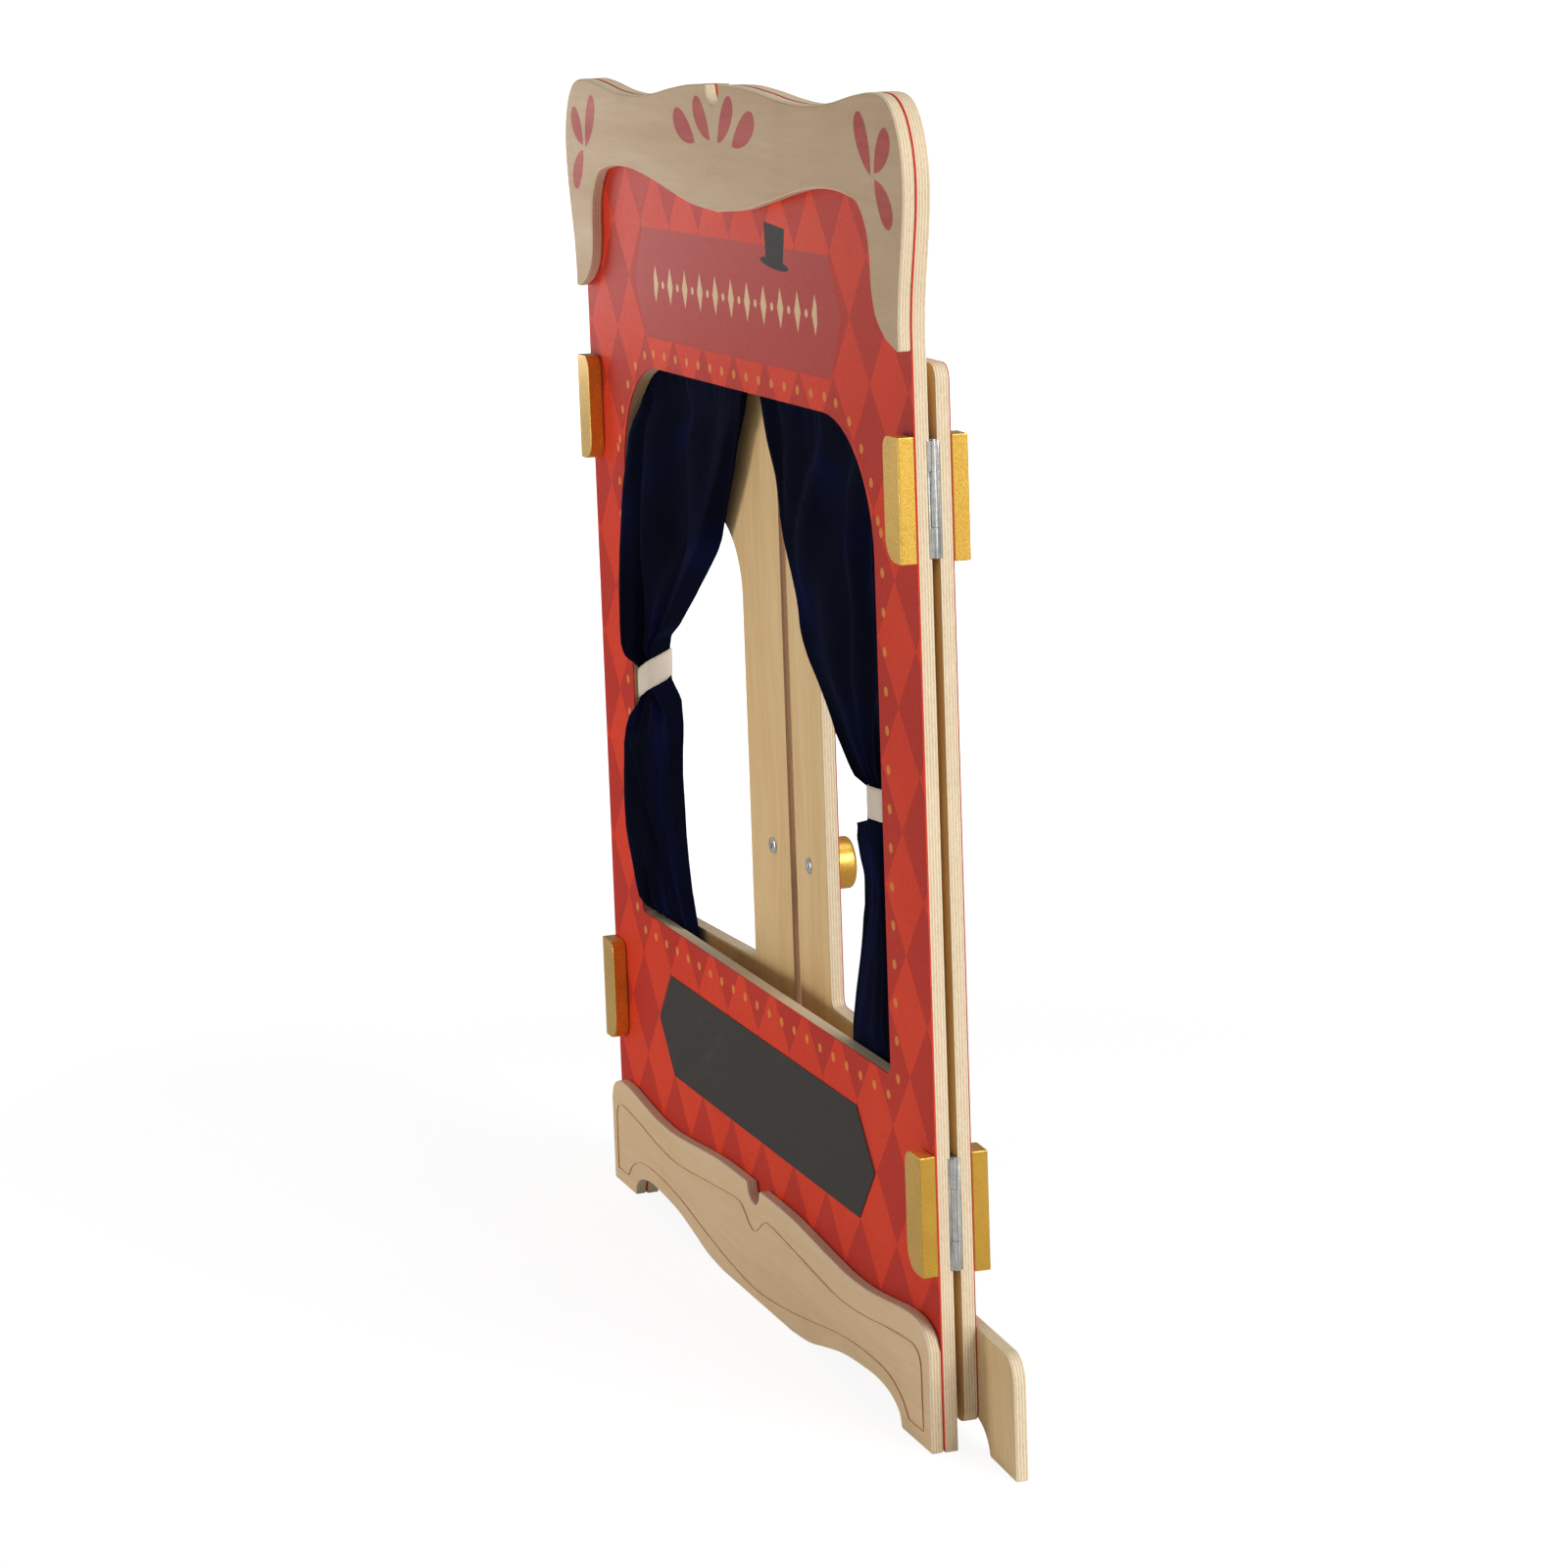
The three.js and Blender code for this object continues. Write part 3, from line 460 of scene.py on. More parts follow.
def centre_artwork(net, x, z, tone):
    """The banner with its plain lozenges and beads, the hat's silhouette and the dots round the window."""
    away = abs(x)
    from_middle = z - BANNER_MIDDLE
    up = abs(from_middle)
    slope = away - BANNER_HALF + up * (BANNER_SLANT / BANNER_RISE)
    banner = net.below(up, BANNER_RISE, 0.0003) * net.below(slope, 0.0, 0.0003)
    cloudy = net.noise(net.join(x, 0.0, z), 5.0)
    tone = net.mix(banner, tone, net.mix(cloudy, colour(198, 72, 64), colour(190, 64, 58)))
    half_pitch = ORNAMENT_PITCH / 2
    turn = (x + half_pitch) % ORNAMENT_PITCH - half_pitch
    lozenges = net.below(abs(turn) / 0.0085 + up / 0.019, 1.0, 0.04) * (away < 0.235)
    bead = net.length(net.join(x % ORNAMENT_PITCH - half_pitch, from_middle, 0.0))
    beads = net.below(bead, 0.0039, 0.0003) * (away < 0.212)
    tone = net.mix(net.maths("MAXIMUM", lozenges, beads) * 0.92, tone, colour(238, 206, 158))
    tone = net.mix(hat_mask(net, x, z), tone, colour(9, 10, 11))
    return net.mix(window_dots(net, x, z) * 0.85, tone, colour(236, 150, 66))


def print_finish(name, face_side):
    """Red harlequin print on the side that face_side, a sign of y, names. The rest shows the bare sheet."""
    finish, net, place = new_finish(name)
    spot = place["Object"]
    x, _, z = net.split(spot)
    paper = net.noise(spot, 420.0, 3.0, 0.6)
    wide = net.noise(spot, 4.0, 2.0)
    bright = net.tones(wide, 0.3, 0.7, colour(236, 68, 36), colour(226, 60, 32))
    deep = net.tones(wide, 0.3, 0.7, colour(206, 54, 38), colour(196, 48, 34))
    tone = net.mix(harlequin(net, x, z), deep, bright)
    if face_side < 0:
        tone = centre_artwork(net, x, z, tone)
    grained = net.mix(net.step(paper, 0.35, 0.7, 0.0, 0.10), tone, colour(120, 40, 34))
    facing = net.split(place["Normal"])[1] * float(face_side)
    edge = net.mix(net.noise(spot, 300.0), colour(216, 92, 66), colour(204, 44, 30))
    return dressed(finish, net, {
        "Base Color": net.mix(net.step(facing, 0.5, 0.8), edge, grained),
        "Roughness": net.step(paper, 0.3, 0.7, 0.44, 0.54), "Normal": net.bump(paper, 0.00004, 0.4),
        "Specular IOR Level": 0.10})


def chalkboard_finish():
    finish, net, place = new_finish("chalkboard_black")
    spot = place["Object"]
    turned = net.node("ShaderNodeMapping", {"Vector": spot, "Rotation": (0.0, 0.5, 0.0)})
    dust = net.noise(turned, (8.0, 8.0, 60.0), 5.0, 0.65, 0.6)
    clouds = net.noise(spot, 6.0, 4.0, 0.6)
    tooth = net.noise(spot, 1400.0, 2.0)
    dusty = net.step(dust, 0.45, 0.8) * net.step(clouds, 0.35, 0.75)
    base = net.tones(tooth, 0.3, 0.7, colour(58, 55, 54), colour(68, 65, 63))
    return dressed(finish, net, {
        "Base Color": net.mix(dusty * 0.10, base, colour(132, 129, 124)), "Roughness": 0.78,
        "Normal": net.bump(tooth, 0.00005, 0.6), "Specular IOR Level": 0.25})


def gold_finish():
    """Satin gold paint: fine flakes that each lie a little differently, over brush-smooth wood."""
    finish, net, place = new_finish("gold_paint")
    spot = place["Object"]
    flakes = net.node("ShaderNodeTexVoronoi", {"Vector": spot, "Scale": 1500.0}, "Color", feature="F1")
    tone, _, gloss = net.split(flakes)
    wide = net.noise(spot, 30.0, 3.0)
    brushed = net.noise(spot, (300.0, 300.0, 20.0), 3.0)
    base = net.tones(wide, 0.3, 0.7, colour(230, 166, 48), colour(220, 152, 38))
    streaked = net.mix(net.step(brushed, 0.45, 0.8, 0.0, 0.2), base, colour(200, 152, 50))
    return dressed(finish, net, {
        "Base Color": net.mix(net.step(tone, 0.4, 0.6, 0.0, 0.6), streaked, colour(250, 230, 110)),
        "Metallic": net.step(tone, 0.4, 0.6, 0.35, 0.95), "Roughness": net.step(gloss, 0.0, 1.0, 0.30, 0.40),
        "Normal": net.bump(tone * 0.4 + brushed * 2.0, 0.00005, 0.4), "Coat Weight": 0.45,
        "Coat Roughness": 0.28})


def steel_finish():
    """Bright zinc with upright streaks from rolling, shallow dents from the press and rubbed marks. The
    streaks' dark bluish colour is painted reflection.
    """
    finish, net, place = new_finish("zinc_steel")
    spot = place["Object"]
    streaks = net.noise(spot, (620.0, 620.0, 14.0), 2.0)
    clouds = net.noise(spot, 160.0, 3.0)
    dents = net.noise(spot, 300.0, 2.0)
    marks = net.use(WEAR, {"Place": spot, "Scale": 3.0})["Marks"]
    base = net.tones(clouds, 0.3, 0.7, colour(244, 245, 242), colour(222, 224, 224))
    # The streaks' bump and roughness are rolling marks; their dark bluish colour is painted reflection,
    # standing in for the dark upright reflections on the steel.
    streaked = net.mix(net.step(streaks, 0.50, 0.64, 0.0, 0.60), base, colour(96, 104, 112))
    return dressed(finish, net, {
        "Base Color": net.mix(marks * 0.3, streaked, colour(84, 78, 70)), "Metallic": 0.8,
        "Roughness": net.step(streaks, 0.3, 0.7, 0.14, 0.28),
        "Normal": net.bump(streaks + dents * 0.25, 0.00012, 0.6)})


def coil_finish():
    """Steel with the fine turns of a close coil, darker at the seams between the turns as painted shade."""
    finish, net, place = new_finish("coiled_steel")
    # This share is 0 at the seams between turns, where the colour darkens: painted shade.
    turns = abs(net.maths("SINE", net.split(place["Object"])[0] * (math.pi / (0.7 * MM))))
    return dressed(finish, net, {
        "Base Color": net.mix(turns, colour(96, 96, 98), colour(206, 206, 208)), "Metallic": 0.9,
        "Roughness": 0.35, "Normal": net.bump(turns, 0.3 * MM, 0.7)})


def cloth_finish(name, dark, pale, sheen, sheen_tint, thread, depth):
    finish, net, place = new_finish(name)
    weave = net.use(WEAVE, {"Map": place["UV"], "Thread": thread, "Depth": depth})
    # On the navy velvet the pale blue patches stand in for its sheen where the pile catches the light:
    # painted sheen.
    toned = net.tones(net.noise(place["UV"], 7.0, 3.0, 0.55), 0.45, 0.75, dark, pale)
    return dressed(finish, net, {
        # Raised threads are mixed towards the pale colour: painted shade in the weave's hollows, with random
        # fuzz.
        "Base Color": net.mix(net.step(weave["Tone"], 0.3, 0.9, 0.0, 0.15), toned, pale), "Roughness": 0.9,
        "Normal": weave["Normal"], "Specular IOR Level": 0.02, "Sheen Weight": sheen, "Sheen Roughness": 0.35,
        "Sheen Tint": sheen_tint})


def thread_finish():
    finish, net, place = new_finish("sewing_thread")
    twist = net.noise(place["Object"], (900.0, 900.0, 3200.0), 2.0)
    return dressed(finish, net, {
        "Base Color": net.tones(twist, 0.3, 0.7, colour(206, 192, 168), colour(176, 160, 134)),
        "Roughness": 0.8, "Normal": net.bump(twist, 0.00005, 0.5)})


def burnt_finish():
    """A scorched line, darker where the burning dwelt."""
    finish, net, place = new_finish("burnt_line")
    char = net.noise(place["Object"], 300.0, 4.0, 0.65)
    dwell = net.noise(place["Object"], 22.0, 2.0)
    tone = net.tones(dwell, 0.35, 0.65, colour(214, 158, 84), colour(180, 124, 62))
    return dressed(finish, net, {
        "Base Color": net.mix(net.step(char, 0.3, 0.7, 0.0, 0.30), tone, colour(190, 150, 96)),
        "Roughness": 0.75, "Normal": net.bump(char, 0.00008, 0.5)})


# Centre panel ply, with painted shade on its window jambs.
BIRCH = plywood_finish("birch_ply", colour(240, 208, 154), colour(224, 186, 128), painted_shade_edge="window")
# Wing ply, with painted shade on its free edges where the wings meet.
WING_BIRCH = plywood_finish("wing_ply", colour(240, 208, 154), colour(224, 186, 128), painted_shade_edge="free")
CREST_BIRCH = plywood_finish("crest_ply", colour(210, 182, 146), colour(200, 170, 132), petals=True,
                             across=True)
PALE_BIRCH = plywood_finish("pale_ply", colour(234, 206, 166), colour(224, 193, 150), across=True)
FOOT_BIRCH = plywood_finish("foot_ply", colour(226, 200, 152), colour(210, 180, 130))
CENTRE_PRINT = print_finish("centre_print", -1)
WING_PRINT = print_finish("wing_print", 1)
CHALKBOARD = chalkboard_finish()
GOLD = gold_finish()
STEEL = steel_finish()
COIL = coil_finish()
# Navy velvet: its pale blue, laid on in patches, is painted sheen.
NAVY = cloth_finish("navy_velvet", colour(10, 12, 24), colour(13, 19, 56), 0.14, (0.06, 0.12, 0.50, 1.0),
                    0.0009, 0.00015)
CREAM = cloth_finish("cream_cloth", colour(226, 212, 196), colour(238, 226, 212), 0.10,
                     (1.0, 0.95, 0.88, 1.0), 0.0007, 0.00014)
THREAD = thread_finish()
BURNT = burnt_finish()


# Mesh helpers


def mirrored(side):
    return Matrix.Scale(SIDES[side], 4, (1, 0, 0))


def fixed_place(side):
    """From a frame on a hinge line, at x = 0 and y = 0, to the stand's, mirrored for the left side."""
    return mirrored(side) @ Matrix.Translation((PANEL_HALF, HINGE_DEPTH, 0))


def wing_place(side):
    """As fixed_place, for what turns with the wing."""
    return fixed_place(side) @ Matrix.Rotation(-REST_ANGLE, 4, "Z")


def mesh_of(name, work, smooth_angle=None):
    """The mesh of a bmesh, which it frees. With an angle in degrees, it is smooth up to that angle."""
    mesh = bpy.data.meshes.new(name)
    work.to_mesh(mesh)
    work.free()
    if smooth_angle is not None:
        mesh.polygons.foreach_set("use_smooth", [True] * len(mesh.polygons))
        mesh.set_sharp_from_angle(angle=math.radians(smooth_angle))
    return mesh


def outward(work):
    bmesh.ops.recalc_face_normals(work, faces=work.faces)
    return work


def carried(piece, body, nodes=()):
    """Lets a piece ride on its body, in place of its CAD nodes."""
    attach(piece, body)
    if nodes:
        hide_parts(*nodes)
    return piece


def finished(name, work, finish, body, place=None, smooth_angle=30.0, nodes=()):
    """Makes a piece of a bmesh, set in its place."""
    if place is not None:
        bmesh.ops.transform(work, matrix=place, verts=work.verts)
        if place.determinant() < 0:
            bmesh.ops.reverse_faces(work, faces=work.faces)
    piece = made_object(name, mesh_of(name, work, smooth_angle))
    piece.data.materials.append(finish)
    return carried(piece, body, nodes)


def plain(piece):
    """Makes what a piece's modifiers give its own plain mesh."""
    shaped = bpy.data.meshes.new_from_object(piece.evaluated_get(bpy.context.evaluated_depsgraph_get()))
    piece.modifiers.clear()
    old = piece.data
    piece.data = shaped
    shaped.name = piece.name
    bpy.data.meshes.remove(old)
    return piece


def settled(piece, kind, **settings):
    """Applies a modifier to a piece for good."""
    modifier = piece.modifiers.new(kind.lower(), kind)
    for key, value in settings.items():
        setattr(modifier, key, value)
    return plain(piece)


def grown(name, mesh, tree, given):
    """The piece that a geometry node tree makes of a mesh, with the tree's inputs given by name."""
    piece = made_object(name, mesh)
    modifier = piece.modifiers.new(name, "NODES")
    modifier.node_group = tree
    for item in tree.interface.items_tree:
        if item.in_out == "INPUT" and item.name in given:
            modifier[item.identifier] = given[item.name]
    piece.update_tag()
    return plain(piece)


def ended(net, shape, finish):
    """Ends a geometry node tree: real meshes, with their finish."""
    real = net.node("GeometryNodeRealizeInstances", {0: shape})
    return net.put_out({0: net.node("GeometryNodeSetMaterial", {"Geometry": real, "Material": finish})})


def ply_attribute(mesh, side):
    """Writes how deep each point lies in its board, from 0 at the face to 1 at the back."""
    points = np.empty(len(mesh.vertices) * 3)
    mesh.vertices.foreach_get("co", points)
    points = points.reshape(-1, 3)
    if side is None:
        depth = points[:, 1]
    else:
        away = SIDES[side] * points[:, 0] - PANEL_HALF
        depth = (points[:, 1] - HINGE_DEPTH) * math.cos(REST_ANGLE) + away * math.sin(REST_ANGLE)
    share = (depth - depth.min()) / (depth.max() - depth.min())
    mesh.attributes.new("ply", "FLOAT", "POINT").data.foreach_set("value", share.astype(np.float32))


def beveled(work, edges, radius, segments):
    """Rounds the edges that are sharp."""
    sharp = [edge for edge in edges if edge.calc_face_angle() > math.radians(50)]
    bmesh.ops.bevel(work, geom=sharp, offset=radius, segments=segments, profile=0.5, affect="EDGES",
                    clamp_overlap=True)


def rounded_board(node_name, body, finish, radius, side=None):
    """A board in the shape of its CAD node, with all its sharp edges rounded over."""
    work = bmesh.new()
    work.from_mesh(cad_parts[node_name].data)
    bmesh.ops.remove_doubles(work, verts=work.verts, dist=0.02 * MM)
    bmesh.ops.dissolve_limit(work, angle_limit=math.radians(0.6), verts=work.verts, edges=work.edges)
    outward(work)
    beveled(work, [edge for edge in work.edges if len(edge.link_faces) == 2], radius, 3)
    piece = finished(node_name + "_rounded", work, finish, body, nodes=[node_name], smooth_angle=40.0)
    ply_attribute(piece.data, side)
    settled(piece, "WEIGHTED_NORMAL", keep_sharp=True)


def turns(count):
    return [2 * math.pi * step / count for step in range(count)]


def quarter(steps):
    """Sine and cosine at even steps of a quarter turn."""
    angles = [math.pi / 2 * step / steps for step in range(steps + 1)]
    return [(math.sin(angle), math.cos(angle)) for angle in angles]


def bridged(work, rings, backward=False):
    """Adds the faces between rings of points. A ring of one point is a pole."""
    for first, second in zip(rings, rings[1:]):
        count = max(len(first), len(second))
        for step in range(count):
            after = (step + 1) % count
            corners = [first[step % len(first)], first[after % len(first)],
                       second[after % len(second)], second[step % len(second)]]
            if backward:
                corners = corners[:1] + corners[:0:-1]
            unique = [corner for index, corner in enumerate(corners) if corner not in corners[:index]]
            if len(unique) > 2:
                work.faces.new(unique)


def slab(work, bottom, top):
    """A solid between two outlines with as many points."""
    rings = [[work.verts.new(point) for point in outline] for outline in (bottom, top)]
    work.faces.new(rings[0])
    work.faces.new(rings[1][::-1])
    bridged(work, rings)


def on_axis(centre, axis, first, second, along):
    spots = {"X": (along, first, second), "Y": (first, along, second), "Z": (first, second, along)}
    return Vector(centre) + Vector(spots[axis])


def lathed(work, profile, centre, axis, sides=64, shape=None):
    """Adds a turned solid, and gives its rings. The profile lists (radius, distance along the axis)."""
    rings = []
    for radius, along in profile:
        ring = [(0, 0)]
        if radius != 0:
            reaches = [(radius if shape is None else shape(radius, angle), angle) for angle in turns(sides)]
            ring = [(reach * math.cos(angle), reach * math.sin(angle)) for reach, angle in reaches]
        rings.append([work.verts.new(on_axis(centre, axis, first, second, along)) for first, second in ring])
    bridged(work, rings)
    return rings


def rounded_profile(radius, low, high, edge):
    """A turned solid's profile from its low to its high end, with rounded rims."""
    low_rim = [(radius - edge + edge * sine, low + edge - edge * cosine) for sine, cosine in quarter(3)]
    high_rim = [(radius - edge + edge * cosine, high - edge + edge * sine) for sine, cosine in quarter(3)]
    return [(0.0, low)] + low_rim + high_rim + [(0.0, high)]


def stacked(base, points):
    """A profile given in millimetres, from its base up."""
    return [(radius * MM, base + along * MM) for radius, along in points]


# Boards, print and blocks


def make_boards():
    rounded_board("centre_panel", "centre", BIRCH, 0.6 * MM)
    rounded_board("crest_board", "centre", CREST_BIRCH, 2.2 * MM)
    rounded_board("apron_board", "centre", PALE_BIRCH, 2.2 * MM)
    for side in SIDES:
        body = f"{side}_wing"
        rounded_board(f"{side}_wing_panel", body, WING_BIRCH, 1.0 * MM, side)
        rounded_board(f"{side}_wing_foot", body, FOOT_BIRCH, 1.8 * MM, side)
        for level in LEVELS:
            rounded_board(f"{side}_{level}_face_block", "centre", GOLD, 1.0 * MM)
            rounded_board(f"{side}_{level}_wing_block", body, GOLD, 1.0 * MM, side)


def keep_with_finish(node_name, finish):
    """Gives a CAD node that stays as it is its finish."""
    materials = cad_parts[node_name].data.materials
    for index in range(len(materials)):
        materials[index] = finish
    if not materials:
        materials.append(finish)


make_boards()
keep_with_finish("face_print_sheet", CENTRE_PRINT)
keep_with_finish("chalkboard_sheet", CHALKBOARD)
for side in SIDES:
    keep_with_finish(f"{side}_wing_print_sheet", WING_PRINT)


# Knobs, bolts and hinges

KNOB_FOOT_ROUND = 2.0 * MM
KNOB_TOP_ROUND = 4.0 * MM
BOLT_THICKNESS = 1.6 * MM
BOLT_DEPTH = 18 * MM
LEAF_CORNER = 2.5 * MM
LEAF_CORNER_PLACE = -27.5 * MM
OUTER_KNUCKLE_SHARE = 0.265
SCREW_PLACE = -17 * MM
SCREW_HEIGHT_SHARES = (-0.3, 0.3)
SCREW_RADIUS = 3.1 * MM
RECESS_DEPTH = 1.3 * MM


def hexagon_inside(radius, angle):
    turn = (angle + math.pi / 6) % (math.pi / 3) - math.pi / 6
    return radius / math.cos(turn)


def make_knob(side):
    work = bmesh.new()
    near, far = WING_TRIM, WING_TRIM + KNOB_LENGTH
    foot = [(23.5 * MM + KNOB_FOOT_ROUND * sine, near + KNOB_FOOT_ROUND * (1 - cosine))
            for sine, cosine in quarter(4)]
    top = [(21.5 * MM + KNOB_TOP_ROUND * cosine, far - KNOB_TOP_ROUND + KNOB_TOP_ROUND * sine)
           for sine, cosine in quarter(6)]
    profile = stacked(near, [(0, 0), (23.4, 0)]) + foot + top + stacked(far, [(14.0, 0), (6.0, 0), (0, 0)])
    lathed(work, profile, KNOB_CENTRE, "Y", 72)
    finished(f"{side}_gold_knob", outward(work), GOLD, f"{side}_wing", wing_place(side),
             nodes=[f"{side}_knob"])


def make_bolt(side):
    """A flat round head with a rounded rim and a six-sided socket, on a plain shank."""
    work = bmesh.new()
    seat = LEAF_SEAT - 0.05 * MM
    face = seat - BOLT_THICKNESS
    end = WING_TRIM + BOLT_DEPTH
    socket = lathed(work, stacked(face, [(0, 1.1), (2.5, 1.0), (2.5, 0.15), (2.75, 0)]), KNOB_CENTRE, "Y", 72,
                    hexagon_inside)
    head = stacked(face, [(3.3, 0), (7.4, 0), (8.0, 0.16), (8.35, 0.45), (8.5, 0.85)])
    shank = stacked(seat, [(8.5, 0), (3.0, 0)]) + stacked(end, [(3.0, 0), (0, 0)])
    rim = lathed(work, head + shank, KNOB_CENTRE, "Y", 72)
    bridged(work, [socket[-1], rim[0]])
    finished(f"{side}_round_bolt", outward(work), STEEL, f"{side}_wing", wing_place(side),
             nodes=[f"{side}_knob_bolt"])


def hinge_span(level):
    middle = HINGE_HEIGHTS[level]
    return middle - HINGE_LENGTH / 2, middle + HINGE_LENGTH / 2


def make_knuckle(work, start, end, direction):
    """A knuckle round the pin line, and the web that joins it to its leaf."""
    profile = (stacked(start, [(1.75, 0), (3.2, 0), (3.5, 0.3)])
               + stacked(end, [(3.5, -0.3), (3.2, 0), (1.75, 0)]) + stacked(start, [(1.75, 0)]))
    lathed(work, profile, (0, 0, 0), "Z", 40)
    web = [(-3.4, 5.7), (0.0, 5.7), (1.2, 3.2), (0.0, 1.9), (-3.4, 3.9)]
    heights = (start + 0.1 * MM, end - 0.1 * MM)
    slab(work, *[[(x * MM, direction * y * MM, z) for x, y in web] for z in heights])


def leaf(side, level, moving):
    """A hinge leaf: a plate with rounded corners, and its knuckles."""
    work = bmesh.new()
    low, high = hinge_span(level)
    direction = 1 if moving else -1
    outline = [(0.0, high)]
    for centre_z, start in ((high - LEAF_CORNER, 90), (low + LEAF_CORNER, 180)):
        for angle in [math.radians(start + 22.5 * step) for step in range(5)]:
            x = LEAF_CORNER_PLACE + LEAF_CORNER * math.cos(angle)
            outline.append((x, centre_z + LEAF_CORNER * math.sin(angle)))
    outline.append((0.0, low))
    slab(work, *[[(x, direction * y, z) for x, z in outline] for y in (LEAF_SEAT, LEAF_BACK)])
    outward(work)
    beveled(work, work.edges, 0.25 * MM, 2)
    outer = HINGE_LENGTH * OUTER_KNUCKLE_SHARE
    for start, end in [(low + outer, high - outer)] if moving else [(low, low + outer), (high - outer, high)]:
        make_knuckle(work, start + 0.15 * MM, end - 0.15 * MM, direction)
    bmesh.ops.remove_doubles(work, verts=work.verts, dist=0.001 * MM)
    body, which, place = "centre", "panel", fixed_place(side)
    if moving:
        body, which, place = f"{side}_wing", "wing", wing_place(side)
    finished(f"{side}_{level}_{which}_leaf", outward(work), STEEL, body, place,
             nodes=[f"{side}_{level}_hinge_{which}_leaf"])


def pin(side, level):
    work = bmesh.new()
    low, high = hinge_span(level)
    shank = stacked(low, [(0, 0), (1.2, 0), (1.6, 0.4)])
    dome = stacked(high + 0.3 * MM, [(1.6, 0), (3.3, 0), (3.5, 0.2), (3.4, 0.6), (2.8, 0.95), (1.6, 1.15),
                                     (0, 1.2)])
    lathed(work, shank + dome, (0, 0, 0), "Z", 40)
    finished(f"{side}_{level}_domed_pin", outward(work), STEEL, "centre", fixed_place(side),
             nodes=[f"{side}_{level}_hinge_pin"])


def screw_pattern():
    """One countersunk screw with a cross recess, its head up along +Z and its rim at the origin's height."""
    def within(share):
        return max(0.0, min(1.0, share))

    work = bmesh.new()
    angles = turns(48)
    rings = [[work.verts.new((0, 0, -RECESS_DEPTH))]]
    for level in (0.12, 0.25, 0.38, 0.5, 0.62, 0.74, 0.86, 1.0):
        ring = []
        for angle in angles:
            x, y = SCREW_RADIUS * level * math.cos(angle), SCREW_RADIUS * level * math.sin(angle)
            in_arm = within((0.62 * MM - min(abs(x), abs(y))) / (0.2 * MM))
            deep = in_arm * within((1.95 * MM - math.hypot(x, y)) / (0.35 * MM))
            ring.append(work.verts.new((x, y, -RECESS_DEPTH * deep + 0.12 * MM * (1 - level ** 2))))
        rings.append(ring)
    for radius, height in stacked(0, [(3.2, -0.15), (1.6, -1.7), (1.6, -8.4), (0.6, -9.0)]):
        rings.append([work.verts.new((radius * math.cos(angle), radius * math.sin(angle), height))
                      for angle in angles])
    rings.append([work.verts.new((0, 0, -9.0 * MM))])
    bridged(work, rings, backward=True)
    return made_object("screw_pattern", mesh_of("screw_pattern", outward(work), 35))


def repeat_tree():
    """Geometry nodes that set a pattern on each point, turned by its aim and spun by chance."""
    net, given = new_group("set_on_points", "GeometryNodeTree", {
        "Places": "Geometry", "Pattern": "Object", "Spin": "Float", "Seed": "Int", "Finish": "Material",
    }, {"Pieces": "Geometry"})
    pattern = net.node("GeometryNodeObjectInfo", {"Object": given["Pattern"]}, "Geometry")
    aim = net.node("GeometryNodeInputNamedAttribute", {"Name": "aim"}, data_type="FLOAT_VECTOR")
    placed = net.node("GeometryNodeInstanceOnPoints",
                      {"Points": given["Places"], "Instance": pattern, "Rotation": aim})
    limits = {2: given["Spin"] * -1.0, 3: given["Spin"], "Seed": given["Seed"]}
    spin = net.join(0.0, 0.0, net.node("FunctionNodeRandomValue", limits, 1, data_type="FLOAT"))
    turned = net.node("GeometryNodeRotateInstances", {"Instances": placed, "Rotation": spin})
    return ended(net, turned, given["Finish"])


REPEAT = repeat_tree()


def repeated(name, places, aims, given, body, nodes=()):
    """Sets one pattern at many places and makes the result one piece."""
    mesh = bpy.data.meshes.new(name)
    mesh.from_pydata([tuple(place) for place in places], [], [])
    aim = mesh.attributes.new("aim", "FLOAT_VECTOR", "POINT")
    aim.data.foreach_set("vector", [value for angles in aims for value in angles])
    carried(grown(name, mesh, REPEAT, given), body, nodes)


def make_screws():
    pattern = screw_pattern()
    bodies = {"centre": ([], [], []), "left_wing": ([], [], []), "right_wing": ([], [], [])}
    for side in SIDES:
        fixings = ((f"{side}_wing", 1, wing_place(side), "wing"), ("centre", -1, fixed_place(side), "panel"))
        for level, middle in HINGE_HEIGHTS.items():
            for index, share in enumerate(SCREW_HEIGHT_SHARES):
                for body, direction, place, which in fixings:
                    spots, aims, names = bodies[body]
                    height = middle + share * HINGE_LENGTH
                    spots.append(place @ Vector((SCREW_PLACE, direction * LEAF_SEAT, height)))
                    out = (place.to_3x3() @ Vector((0, -direction, 0))).normalized()
                    aims.append(out.to_track_quat("Z", "Y").to_euler())
                    names.append(f"{side}_{level}_{which}_leaf_screw_{index + 1}")
    for seed, (body, (spots, aims, names)) in enumerate(bodies.items(), 11):
        given = {"Pattern": pattern, "Spin": math.pi, "Seed": seed, "Finish": STEEL}
        repeated(f"{body}_hinge_screws", spots, aims, given, body, names)
    bpy.data.objects.remove(pattern)


for side in SIDES:
    make_knob(side)
    make_bolt(side)
    for level in LEVELS:
        leaf(side, level, True)
        leaf(side, level, False)
        pin(side, level)
make_screws()


# Curtain wire and screw eyes

EYE_RADIUS = 2.8 * MM
EYE_THICK = 1.3 * MM


def make_wire():
    """A sprung curtain wire: a close coil with plain end beads."""
    work = bmesh.new()
    centre = (0, WIRE_DEPTH, WIRE_HEIGHT)
    reach = EYE_PLACE + 1.6 * MM
    end = reach + 5 * MM
    lathed(work, rounded_profile(1.2 * MM, -reach, reach, 0.2 * MM), centre, "X", 24)
    for low, high in ((-end, -reach), (reach, end)):
        lathed(work, rounded_profile(2.8 * MM, low, high, 0.7 * MM), centre, "X", 32)
    finished("sprung_wire", outward(work), COIL, "centre", nodes=["curtain_wire"])


